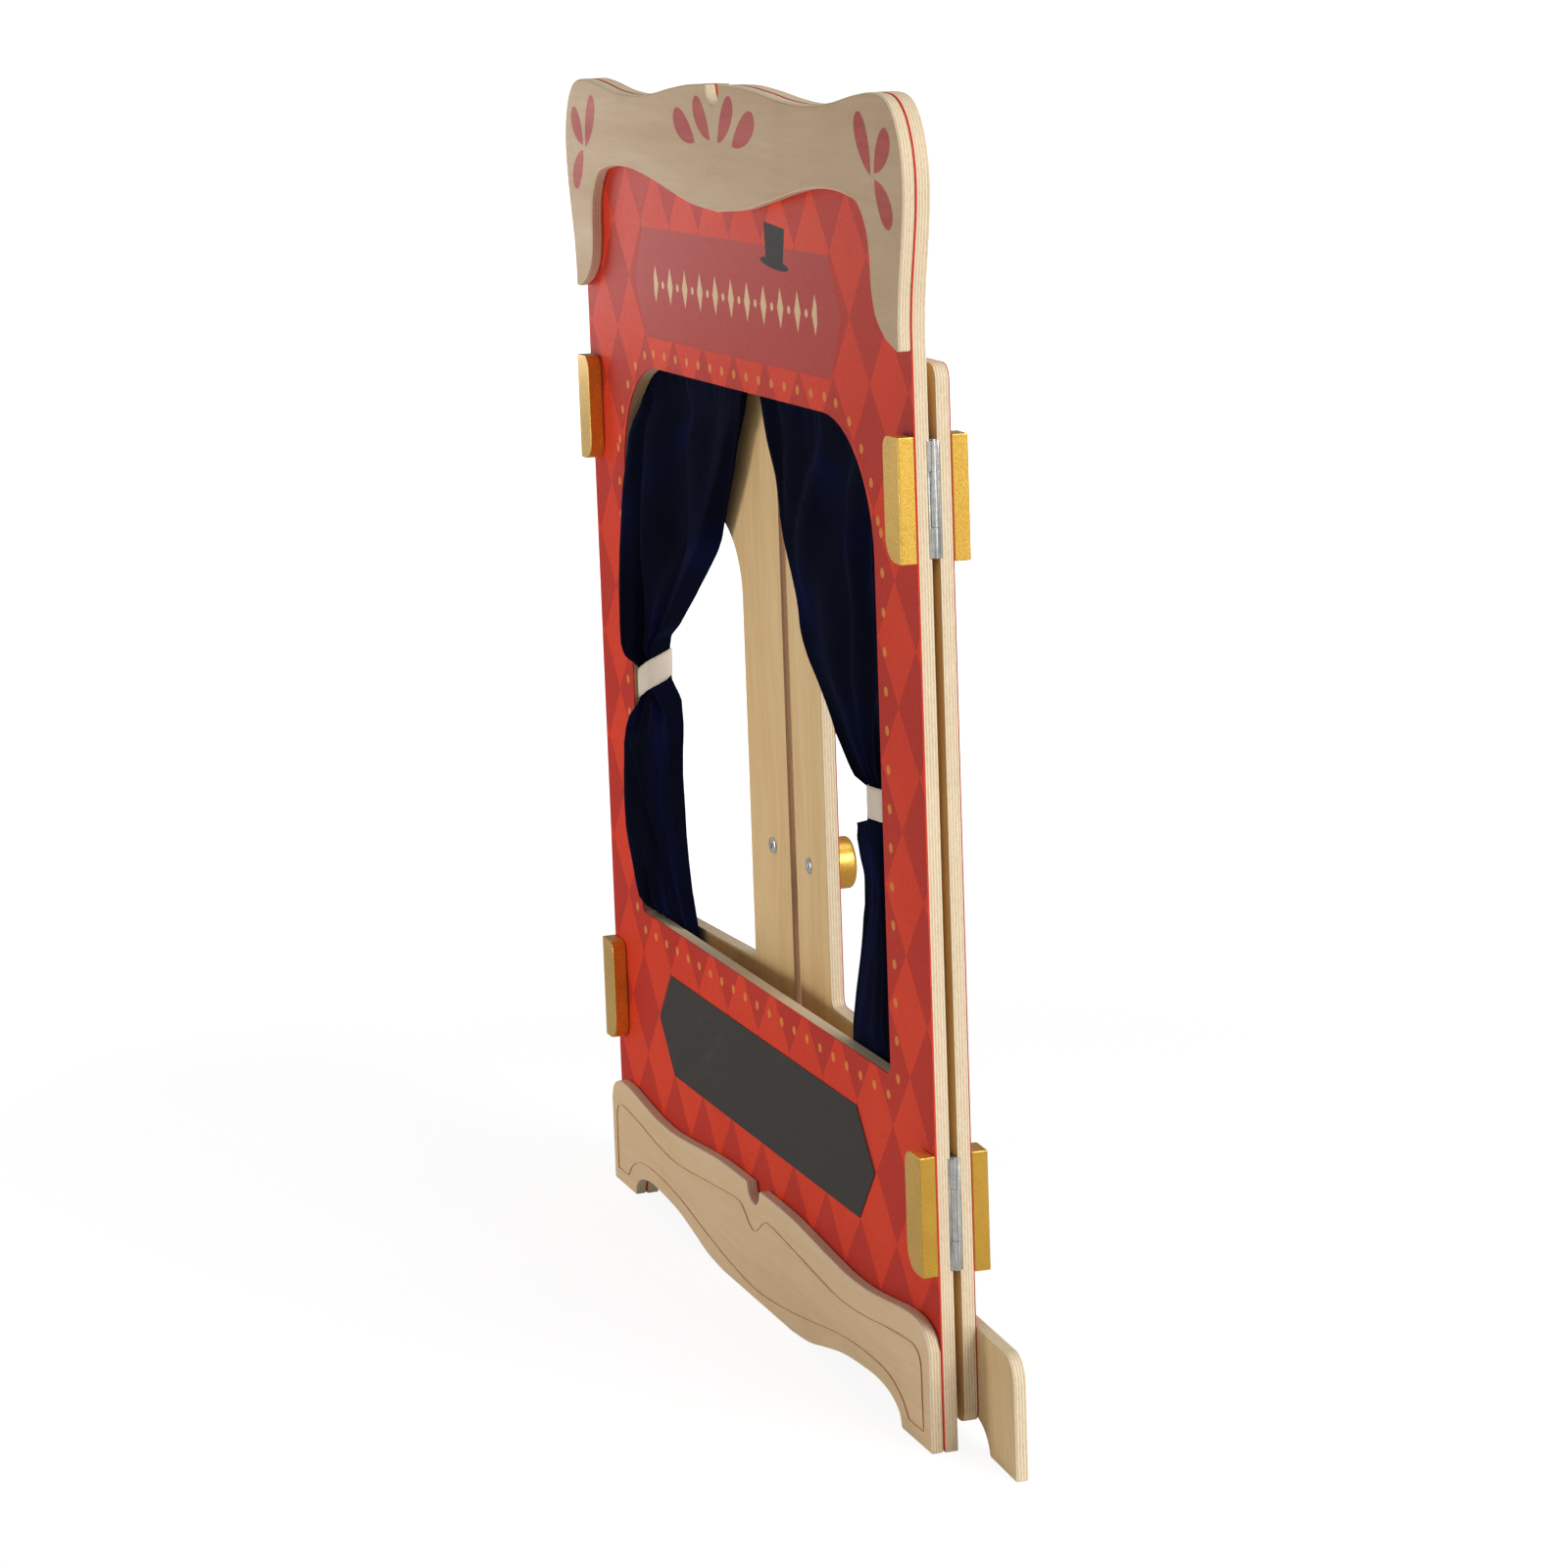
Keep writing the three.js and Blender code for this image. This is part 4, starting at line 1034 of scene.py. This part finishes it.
def make_eye(side):
    work = bmesh.new()
    centre = Vector((EYE_PLACE, WIRE_DEPTH, WIRE_HEIGHT))
    loops = []
    for angle in turns(40):
        out = Vector((0, math.cos(angle), math.sin(angle)))
        loops.append([work.verts.new(centre + out * (EYE_RADIUS + EYE_THICK * math.cos(around))
                                     + Vector((EYE_THICK * math.sin(around), 0, 0))) for around in turns(20)])
    bridged(work, loops + loops[:1])
    end = WIRE_DEPTH - EYE_RADIUS
    shank = stacked(CORE_BACK - 8 * MM, [(0, 0), (1.2, 0), (1.3, 1)]) + stacked(end, [(1.3, 0), (0, 0)])
    lathed(work, shank, (EYE_PLACE, 0, WIRE_HEIGHT), "Y", 24)
    finished(f"{side}_round_eye", outward(work), STEEL, "centre", mirrored(side),
             nodes=[f"{side}_screw_eye"])


make_wire()
for side in SIDES:
    make_eye(side)


# Curtains

# Lines of the cloth by height, in millimetres. Edges are shares of half the window from the middle, and
# front and back are shares of the board's thickness behind the board's front.
OUTER_EDGE = {
    "left": {287: 0.97, 328: 0.975, 350: 0.98, 380: 0.985, 775: 0.985, 790: 0.983, 805: 0.978, 820: 0.97,
             835: 0.958, 850: 0.935, 865: 0.912, 876: 0.935, 890: 1.0, 905: 1.03},
    "right": {287: 0.97, 328: 0.975, 350: 0.98, 380: 0.985, 750: 0.985, 800: 0.978, 840: 0.965, 870: 1.012,
              905: 1.03},
}
INNER_EDGE = {
    "left": {287: 0.65, 325: 0.692, 355: 0.744, 385: 0.776, 415: 0.795, 475: 0.812, 505: 0.8, 535: 0.782,
             560: 0.785, 573: 0.838, 580.5: 0.868, 610.5: 0.868, 625: 0.85, 640: 0.768, 655: 0.712,
             670: 0.653, 685: 0.597, 700: 0.537, 715: 0.477, 730: 0.418, 745: 0.374, 760: 0.346,
             790: 0.287, 820: 0.232, 850: 0.188, 880: 0.122, 905: 0.087},
    "right": {287: 0.62, 340: 0.642, 370: 0.668, 400: 0.7, 430: 0.73, 460: 0.765, 490: 0.774, 505: 0.757,
              520: 0.75, 536: 0.775, 544.5: 0.868, 577.5: 0.868, 580.5: 0.78, 590: 0.735, 600: 0.694,
              612: 0.645, 625: 0.61, 640: 0.56, 655: 0.508, 670: 0.452, 685: 0.418, 700: 0.4, 715: 0.39,
              730: 0.372, 745: 0.342, 760: 0.311, 775: 0.282, 790: 0.262, 805: 0.244, 835: 0.186,
              850: 0.151, 865: 0.126, 880: 0.11, 905: 0.086},
}
OUTER_FRONT = {
    "left": {287: 1.12, 316: 1.12, 323: 0.8, 330: -0.2, 340: -0.68, 355: -0.85, 370: -0.97, 385: -1.1,
             400: -1.25, 415: -1.4, 445: -1.46, 475: -1.42, 505: -1.34, 520: -1.18, 535: -0.8, 549: 0.17,
             585: 0.17, 592: -0.45, 600: -1.0, 612: -1.28, 630: -1.34, 655: -1.33, 685: -1.26, 715: -1.2,
             745: -1.05, 760: -0.95, 775: -0.82, 790: -0.66, 805: -0.48, 820: -0.36, 835: -0.3, 850: -0.06,
             865: 0.4, 876: 1.04, 890: 1.12, 905: 1.12},
    "right": {287: 1.12, 316: 1.12, 323: 1.0, 335: 0.3, 360: -0.05, 545: -0.05, 549: 0.17, 585: 0.17,
              590: -0.05, 780: -0.05, 800: 0.1, 820: 0.75, 840: 1.06, 870: 1.1, 905: 1.12},
}
INNER_FRONT = {287: 1.12, 328: 1.08, 350: 1.04, 386: 1.0, 433: 1.0, 486: 0.9, 515: 0.7, 535: 0.5,
               549: 0.17, 585: 0.17, 610: 0.3, 640: 0.4, 700: 0.4, 750: 0.5, 800: 0.68, 830: 0.92,
               850: 1.02, 870: 1.1, 905: 1.12}
BACK = {287: 1.76, 328: 1.84, 350: 1.98, 386: 2.12, 433: 2.22, 500: 2.22, 535: 2.14, 549: 2.03, 585: 2.03,
        640: 2.14, 665: 2.22, 700: 2.22, 750: 2.12, 800: 1.98, 840: 1.9, 870: 1.84, 905: 1.78}
# Share of the cloth's depth that its folds take
FOLD_DEPTH = {287: 0.85, 330: 0.65, 380: 0.55, 480: 0.55, 530: 0.7, 552: 1.0, 582: 1.0, 605: 0.85,
              650: 0.7, 760: 0.66, 830: 0.8, 870: 1.0, 905: 1.0}
# Each fold's width towards the cloth's outer and inner edge, and its place across the cloth and its strength
FOLD_LINES = {
    "left": [
        (0.12, 0.10, {905: (0.04, 1.0), 830: (0.06, 1.0), 777: (0.08, 1.0), 620: (0.09, 1.0),
                      287: (0.09, 1.0)}),
        (0.05, 0.20, {905: (0.15, 0.9), 830: (0.22, 1.0), 777: (0.27, 1.0), 720: (0.33, 1.0),
                      680: (0.38, 0.8), 620: (0.42, 0.6), 560: (0.40, 0.8), 510: (0.30, 0.9),
                      287: (0.30, 0.9)}),
        (0.06, 0.20, {905: (0.54, 0.9), 830: (0.65, 1.0), 777: (0.76, 1.0), 720: (0.84, 0.8),
                      640: (0.86, 0.6), 560: (0.85, 0.8), 287: (0.85, 0.8)}),
        (0.12, 0.14, {730: (0.62, 0.0), 700: (0.64, 0.6), 640: (0.66, 0.8), 600: (0.64, 0.8),
                      560: (0.62, 0.8), 500: (0.58, 0.95), 287: (0.58, 0.9)}),
        (0.10, 0.20, {905: (0.88, 0.7), 830: (0.92, 0.7), 287: (0.95, 0.6)}),
    ],
    "right": [
        (0.06, 0.10, {905: (1.0, 0.95), 287: (1.0, 0.95)}),
        (0.12, 0.05, {905: (0.84, 0.9), 875: (0.82, 0.9), 830: (0.90, 0.9), 780: (0.95, 0.6),
                      700: (0.97, 0.5), 287: (0.97, 0.5)}),
        (0.16, 0.06, {905: (0.52, 1.0), 875: (0.50, 1.0), 830: (0.68, 1.0), 790: (0.82, 1.0),
                      750: (0.88, 0.8), 700: (0.92, 0.5), 620: (0.92, 0.4), 560: (0.88, 0.8),
                      287: (0.88, 0.8)}),
        (0.14, 0.06, {905: (0.24, 1.0), 875: (0.23, 1.0), 830: (0.31, 1.0), 790: (0.29, 1.0),
                      750: (0.25, 1.0), 700: (0.33, 0.9), 660: (0.44, 0.5), 620: (0.50, 0.2),
                      560: (0.50, 0.6), 287: (0.52, 0.7)}),
        (0.22, 0.20, {800: (0.72, 0.0), 750: (0.72, 0.7), 700: (0.66, 0.95), 650: (0.70, 1.0),
                      600: (0.64, 0.9), 560: (0.70, 0.6), 500: (0.72, 0.8), 287: (0.72, 0.8)}),
        (0.08, 0.08, {680: (0.10, 0.0), 650: (0.14, 0.8), 600: (0.22, 0.9), 560: (0.20, 0.9),
                      287: (0.22, 0.8)}),
        (0.05, 0.08, {905: (0.02, 0.9), 287: (0.04, 0.7)}),
    ],
}
# The crease that runs down across the left curtain's foot, as its place across the cloth
CREASE = {515: 0.12, 503: 0.17, 474: 0.25, 444: 0.38, 423: 0.50, 402: 0.58, 377: 0.65, 350: 0.64}
# Share of the cloth's width that turns back behind it
RETURN = {287: 0.85, 620: 0.85, 700: 0.60, 800: 0.20, 860: 0.04, 905: 0.015}
RETURN_COLUMNS = 0.25
CLOTH_HEAD = 0.905
CLOTH_FOOT = 0.287
CLOTH_SEED = {"left": 3, "right": 8}
CLOTH_THICKNESS = 0.0011
CURTAIN_FLAT = (0.36, 0.66)
TIE_RISE = {"left": 0.0285, "right": -0.0045}
TIE_THICKNESS = 1.2 * MM
BACK_SHARE = 0.4


def along(line, heights):
    """A line's value at each height, in metres."""
    places = sorted(line)
    return np.interp(heights, np.array(places) / 1000, [line[place] for place in places])


def flowing(line, heights):
    """As along, but with the line's corners eased."""
    return sum(along(line, heights + shift) for shift in np.linspace(-0.018, 0.018, 7)) / 7


def eased(values, low, high):
    """0 below low, 1 above high and smooth between."""
    share = np.clip((values - low) / (high - low), 0, 1)
    return share * share * (3 - 2 * share)


def tie_lift(heights, side):
    """How far the tie band, which slants, lifts the cloth at its inner edge."""
    away = np.abs(heights - TIE_CENTRE)
    return TIE_RISE[side] * (1 - eased(away, 1.2 * TIE_HALF, 0.170))


def section(heights, side):
    """Outer and inner edge, front at each, and back of a curtain, in metres, at each height."""
    inner = along(INNER_EDGE[side], heights + tie_lift(heights, side)) * WINDOW_HALF
    depths = [along(line, heights) * BOARD for line in (OUTER_FRONT[side], INNER_FRONT, BACK)]
    return along(OUTER_EDGE[side], heights) * WINDOW_HALF, inner, *depths


def valleys(across, down, side):
    """How far the cloth falls back between its folds, from 0 on a fold's crest to 1."""
    left = 1.0
    for outer_width, inner_width, points in FOLD_LINES[side]:
        crest = flowing({height: place for height, (place, _) in points.items()}, down)
        strength = flowing({height: share for height, (_, share) in points.items()}, down)
        away = across - crest
        width = np.where(away < 0, outer_width, inner_width)
        left = left * (1 - strength * np.exp(-(away / width) ** 2))
    return left


def diagonal_crease(across, down):
    """A step in the cloth along the crease: behind on its outer side and forward on its inner side."""
    away = across - flowing(CREASE, down)
    there = eased(down, 0.335, 0.375) * (1 - eased(down, 0.485, 0.525))
    forward = np.exp(-np.maximum(away, 0) / 0.28) * eased(away, -0.05, 0.05)
    behind = np.exp(np.minimum(away, 0) / 0.12) * (1 - eased(away, -0.05, 0.05))
    return there * (5.5 * MM * behind - 3.2 * MM * forward)


def wrinkles(across, down, seed):
    """Small soft unevenness of the cloth from a few seeded waves, about -1 to 1."""
    chance = np.random.default_rng(seed)
    total = 0.0
    for _ in range(9):
        waves = chance.uniform(1.0, 5.0), chance.uniform(1.5, 8.0)
        total = total + np.sin(2 * np.pi * (waves[0] * across + waves[1] * down + chance.uniform())) / 3.5
    return total


def head_pocket(gathers):
    """Depths and heights of the hemmed tunnel over the wire, from the cloth's back round to its front."""
    rows = []
    for turn in np.linspace(205, -10, 12):
        angle = math.radians(turn)
        reach = 2.5 * MM + 1.5 * MM * (0.5 + 0.5 * np.sin(gathers + 0.006 * turn))
        depth = WIRE_DEPTH - CORE_FRONT - reach * math.cos(angle)
        rows.append((depth, WIRE_HEIGHT + reach * math.sin(angle)))
    return rows


def rise_share(x, y, outer, inner, front, back):
    """Share of the tie band's rise at a place: it goes up towards the curtain's inner edge and its back."""
    inward = np.clip((outer - x) / (outer - inner), 0, 1)
    backward = np.clip((y - front) / (back - front), 0, 1)
    return (1 - BACK_SHARE) * inward + BACK_SHARE * backward


def curtain_grid(side, columns=250, rows=140):
    """The points of the cloth's middle surface, row by row from the head down."""
    seed = CLOTH_SEED[side]
    down = np.linspace(CLOTH_HEAD, CLOTH_FOOT, rows)[:, None]
    whole = np.linspace(0, 1 + RETURN_COLUMNS, columns)[None, :]
    across = np.minimum(whole, 1)
    returned = np.maximum(whole - 1, 0) / RETURN_COLUMNS
    outer, inner, outer_front, inner_front, back = section(down, side)
    off_head = 1 - eased(down, 0.845, 0.900)
    held = 1 - eased(np.abs(down - TIE_CENTRE), TIE_HALF, 0.070)
    sack = eased(down, 0.330, 0.400) * (1 - eased(down, 0.500, 0.540)) if side == "left" else 0.0
    valley = valleys(across, down, side)
    front = outer_front + (inner_front - outer_front) * eased(across, 0.0, 1.0)
    gathers = 2 * np.pi * 15 * (across + 0.02 * np.sin(2 * np.pi * 3 * across + seed))
    fine = np.sin(gathers + 3.0 * down) * (0.7 * MM * np.exp(-(CLOTH_HEAD - down) / 0.016) + 0.8 * MM * held)
    y = front + (back - front) * valley * along(FOLD_DEPTH, down) * (1 - 0.97 * sack)
    y = y + fine * (0.35 + 0.65 * valley) * (1 - sack)
    y = y + 3.5 * MM * sack * eased(across, 0.08, 0.30)
    y = y + 0.8 * MM * wrinkles(across, down / 0.62, seed) * off_head * (1 - 0.6 * held) * (1 - 0.75 * sack)
    if side == "left":
        y = y + diagonal_crease(across, down)
        y = y + (back - y) * eased(across, 0.93, 1.0) * off_head
    selvedge = (1 - eased(across, 0.0, 0.035)) * off_head
    y = y + (np.minimum(front + 22 * MM, back) - y) * selvedge * (1 - held)
    y = np.clip(y, front, np.maximum(back, front + 6 * MM))
    spill = 6.5 * MM * eased(-y, 2.5 * MM, 12 * MM) * (1 - eased(across, 0.06, 0.30)) * (side == "left")
    behind = along(RETURN, down) * (outer - inner) * returned
    x = outer + (inner - outer) * across + spill + behind
    ripple = 4.0 * MM * np.sin(2 * np.pi * 2.5 * returned + seed)
    ripple = ripple * eased(behind, 4 * MM, 15 * MM) * (1 - 0.8 * held)
    y = y + (back + 1.6 * MM + np.abs(ripple) - y) * eased(returned, 0.0, 0.12)
    z = down + tie_lift(down, side) * rise_share(x, y, outer, inner, outer_front, back)
    pocket = head_pocket(gathers[0])
    xs = np.vstack([np.repeat(x[:1], len(pocket), 0), x])
    ys = np.vstack([depth for depth, _ in pocket] + [y])
    zs = np.vstack([height for _, height in pocket] + [z])
    return np.stack([xs * SIDES[side], ys + CORE_FRONT, zs], -1)


def sheet_mesh(name, points, thickness, size, closed=False):
    """A thin closed cloth from a grid of points, with its map in metres."""
    rows, columns = points.shape[:2]
    work = bmesh.new()
    verts = [[work.verts.new(point) for point in row] for row in points]
    layer = work.loops.layers.uv.new("flat")
    for r in range(rows - 1):
        for c in range(columns if closed else columns - 1):
            after = (c + 1) % columns
            face = work.faces.new([verts[r][c], verts[r][after], verts[r + 1][after], verts[r + 1][c]])
            for loop, (across, down) in zip(face.loops, [(c, r), (c + 1, r), (c + 1, r + 1), (c, r + 1)]):
                loop[layer].uv = (across / (columns - 1) * size[0], down / (rows - 1) * size[1])
            face.smooth = True
    piece = made_object(name, mesh_of(name, work))
    return settled(piece, "SOLIDIFY", thickness=thickness, offset=0.0, use_even_offset=False)


def make_curtain(side):
    piece = sheet_mesh(f"{side}_velvet_curtain", curtain_grid(side), CLOTH_THICKNESS, CURTAIN_FLAT)
    piece.data.materials.append(NAVY)
    carried(piece, "centre", [f"{side}_curtain"])


def band_ring(side, height, grow):
    """Points round the held cloth at a height, on a rounded oblong."""
    outer, inner, _, front, back = [float(value[0]) for value in section(np.array([TIE_CENTRE]), side)]
    back = back + 3.0 * MM
    middle = ((outer + inner) / 2, (front + back) / 2)
    reach = ((outer - inner) / 2, (back - front) / 2)
    points = []
    for angle in turns(120):
        cosine, sine = math.cos(angle), math.sin(angle)
        round_share = (abs(cosine) ** 5 + abs(sine) ** 5) ** -0.2
        x = middle[0] + (reach[0] + grow) * round_share * cosine
        y = middle[1] + (reach[1] + grow) * round_share * sine
        share = float(rise_share(x, y, outer, inner, front, back))
        crease = 0.25 * MM * math.sin(5 * angle + 90 * height)
        points.append((SIDES[side] * x, y + CORE_FRONT + crease * sine, height + TIE_RISE[side] * share))
    return points


def make_tie_band(side):
    shares = [step / 14 for step in range(15)]
    levels = np.linspace(TIE_CENTRE - TIE_HALF, TIE_CENTRE + TIE_HALF, len(shares))
    rows = [band_ring(side, height, 1.15 * MM + 0.35 * MM * math.sin(math.pi * share))
            for height, share in zip(levels, shares)]
    points = np.array(rows)[::-1]
    middle = points[len(shares) // 2]
    length = float(np.linalg.norm(np.diff(np.vstack([middle, middle[:1]]), axis=0), axis=1).sum())
    flat = (length, 2 * TIE_HALF)
    piece = sheet_mesh(f"{side}_cloth_tie", points, TIE_THICKNESS, flat, closed=True)
    piece.data.materials.append(CREAM)
    carried(piece, "centre", [f"{side}_tie_band"])
    return points


def make_stitches(bands):
    """Two rows of small stitches round each tie band, one pattern set along them."""
    work = bmesh.new()
    stitch = [(0, -1.2), (0.18, -1.0), (0.26, -0.4), (0.26, 0.4), (0.18, 1.0), (0, 1.2)]
    lathed(work, stacked(0, stitch), (0, 0, 0), "X", 8)
    pattern = made_object("stitch_pattern", mesh_of("stitch_pattern", work))
    places, aims = [], []
    for points in bands:
        for row in (1, -2):
            ring = [Vector(point) for point in points[row]]
            centre = sum(ring, Vector()) / len(ring)
            for index in range(0, len(ring), 4):
                run = (ring[(index + 1) % len(ring)] - ring[index - 1]).normalized()
                out = Vector((ring[index].x - centre.x, ring[index].y - centre.y, 0)).normalized()
                places.append(ring[index] + out * 0.72 * MM)
                aims.append(run.to_track_quat("X", "Z").to_euler())
    given = {"Pattern": pattern, "Spin": 0.0, "Seed": 5, "Finish": THREAD}
    repeated("tie_band_stitches", places, aims, given, "centre")
    bpy.data.objects.remove(pattern)


bands = []
for side in SIDES:
    make_curtain(side)
    bands.append(make_tie_band(side))
make_stitches(bands)


# Burnt line on the apron

# Half of the closed line that runs inside the apron's outline, from the middle of its top round to the
# middle of its foot, as distance from the middle and height, in millimetres
LINE_POINTS = [
    (0, 73), (8, 75), (16, 79.5), (24, 85), (32, 90), (41, 92.3), (55, 92.2), (75, 90.8), (100, 88.6),
    (150, 83.8), (195, 79.5), (230, 76.8), (265, 76.8), (312, 80.6), (350, 85.5), (387, 89.5), (420, 91.7),
    (432, 90.5), (440, 86), (444, 79), (445, 70), (445.5, 45), (446, 21.5), (445.5, 16.5), (441, 16),
    (416, 16), (410.5, 16.5), (408, 19.5), (398, 29.2), (385, 36.5), (370, 41.5), (350, 44.7), (325, 45.8),
    (290, 45), (250, 42), (212, 37.3), (172, 30.8), (137, 25.4), (100, 20.2), (62, 16), (25, 13),
    (0, 12.2),
]


def ribbon_tree():
    """Geometry nodes that draw a flat ribbon of uneven width along a closed path of edges."""
    net, given = new_group("ribbon_along_path", "GeometryNodeTree", {
        "Path": "Geometry", "Width": "Float", "Height": "Float", "Step": "Float", "Unevenness": "Float",
        "Finish": "Material",
    }, {"Ribbon": "Geometry"})
    curve = net.node("GeometryNodeMeshToCurve", {"Mesh": given["Path"]})
    evened = net.node("GeometryNodeResampleCurve", {"Curve": curve, "Length": given["Step"]}, mode="LENGTH")
    wavering = net.node("ShaderNodeTexNoise", {"Scale": 160.0}, "Fac")
    size = net.maths("MULTIPLY_ADD", wavering - 0.5, given["Unevenness"], 1.0)
    sized = net.node("GeometryNodeSetCurveRadius", {"Curve": evened, "Radius": size})
    upright = net.node("GeometryNodeSetCurveNormal", {"Curve": sized}, mode="Z_UP")
    circle = net.node("GeometryNodeCurvePrimitiveCircle", {"Resolution": 10, "Radius": 1.0})
    flat = net.join(given["Width"], given["Height"], 1.0)
    oval = net.node("GeometryNodeTransform", {"Geometry": circle, "Scale": flat})
    ribbon = net.node("GeometryNodeCurveToMesh", {"Curve": upright, "Profile Curve": oval})
    return ended(net, ribbon, given["Finish"])


def rounded_path(spots, steps=6):
    """A smooth closed path through points."""
    path = []
    for index, start in enumerate(spots):
        before, end, after = [spots[(index + away) % len(spots)] for away in (-1, 1, 2)]
        second = 2 * before - 5 * start + 4 * end - after
        third = 3 * start - before - 3 * end + after
        for t in [step / steps for step in range(steps)]:
            path.append(0.5 * (2 * start + (end - before) * t + second * t * t + third * t ** 3))
    return path


def make_burnt_line():
    half = [(x / 1000, z / 1000) for x, z in LINE_POINTS]
    whole = half + [(-x, z) for x, z in half[-2:0:-1]]
    spots = [(point.x, TRIM_FRONT, point.y) for point in rounded_path([Vector(spot) for spot in whole])]
    mesh = bpy.data.meshes.new("apron_burnt_line")
    mesh.from_pydata(spots, [(index, (index + 1) % len(spots)) for index in range(len(spots))], [])
    given = {"Width": 1.1 * MM, "Height": 0.06 * MM, "Step": 2.0 * MM, "Unevenness": 0.9, "Finish": BURNT}
    carried(grown("apron_burnt_line", mesh, ribbon_tree(), given), "centre")


make_burnt_line()


# Floor, light and air

AIR_LIGHT = 0.21


def softbox(name, place, target, width, height, power, tint, **seen):
    light = bpy.data.lights.new(name, "AREA")
    light.shape = "RECTANGLE"
    light.size = width
    light.size_y = height
    light.energy = power
    light.color = tint
    lamp = made_object(name, light)
    lamp.location = place
    lamp.rotation_euler = (Vector(target) - Vector(place)).to_track_quat("-Z", "Y").to_euler()
    for key, value in seen.items():
        setattr(lamp, key, value)


def floor_finish():
    """Matt white floor that stays plain white to the camera and keeps only a hint of shadow."""
    finish, net, place = new_finish("studio_floor")
    spot = place["Object"]
    base = net.mix(net.noise(spot, 60.0, 3.0), (0.88, 0.88, 0.88, 1), (0.92, 0.92, 0.92, 1))
    dressed(finish, net, {"Base Color": base, "Roughness": 0.9, "Specular IOR Level": 0.1})
    far = net.length(spot)
    rays = net.outputs("ShaderNodeLightPath")
    camera, gloss = rays["Is Camera Ray"], rays["Is Glossy Ray"]
    strength = camera * net.step(far, 1.0, 3.0, 1.10, 1.35) + gloss * net.step(far, 6.5, 13.0, 0.30, 1.20)
    share = camera * net.step(far, 1.0, 3.0, 0.82, 1.0) + gloss * 0.9
    matt = Value(net, finish.node_tree.nodes["Principled BSDF"].outputs[0])
    glow = net.node("ShaderNodeEmission", {"Strength": strength})
    mixed = net.node("ShaderNodeMixShader", {0: share, 1: matt, 2: glow})
    net.feed(finish.node_tree.nodes["Material Output"].inputs["Surface"], mixed)
    return finish


def studio_air():
    """White to the camera, softer for what it lights."""
    air = bpy.data.worlds.new("studio_air")
    air.use_nodes = True
    net = Net(air.node_tree)
    back = air.node_tree.nodes["Background"]
    camera = net.outputs("ShaderNodeLightPath")["Is Camera Ray"]
    net.feed(back.inputs["Color"], (1, 1, 1, 1))
    net.feed(back.inputs["Strength"], net.maths("MULTIPLY_ADD", camera, 0.92, AIR_LIGHT))
    return air


def studio():
    work = bmesh.new()
    bmesh.ops.create_circle(work, cap_ends=True, radius=30.0, segments=96)
    floor = made_object("studio_floor", mesh_of("studio_floor", work))
    floor.data.materials.append(floor_finish())
    bpy.context.scene.world = studio_air()
    softbox("key_light", (4.2, 1.6, 3.0), (0, 0, 0.6), 2.2, 2.2, 150, (1.0, 0.985, 0.96))
    softbox("left_light", (-0.95, -2.25, 0.25), (-0.15, 0, 0.3), 1.0, 1.0, 27, (1.0, 0.97, 0.93))
    softbox("low_light", (1.9, 0.4, 0.12), (0.46, 0, 0.15), 0.6, 0.2, 4, (1.0, 0.99, 0.97),
            visible_glossy=False)
    softbox("side_card", (-1.2, -0.3, 1.05), (-0.4, -0.05, 1.0), 0.3, 0.4, 1.2, (1.0, 1.0, 1.0),
            visible_camera=False)
    softbox("right_card", (3.4, 1.35, 0.45), (0.4, 0, 0.6), 1.0, 0.9, 3.3, (1.0, 0.99, 0.97))
    softbox("head_light", (0.5, 0.6, 4.0), (0, 0, 0.5), 2.0, 2.0, 26, (1.0, 1.0, 1.0))
    bpy.context.scene.view_settings.view_transform = "Standard"


studio()
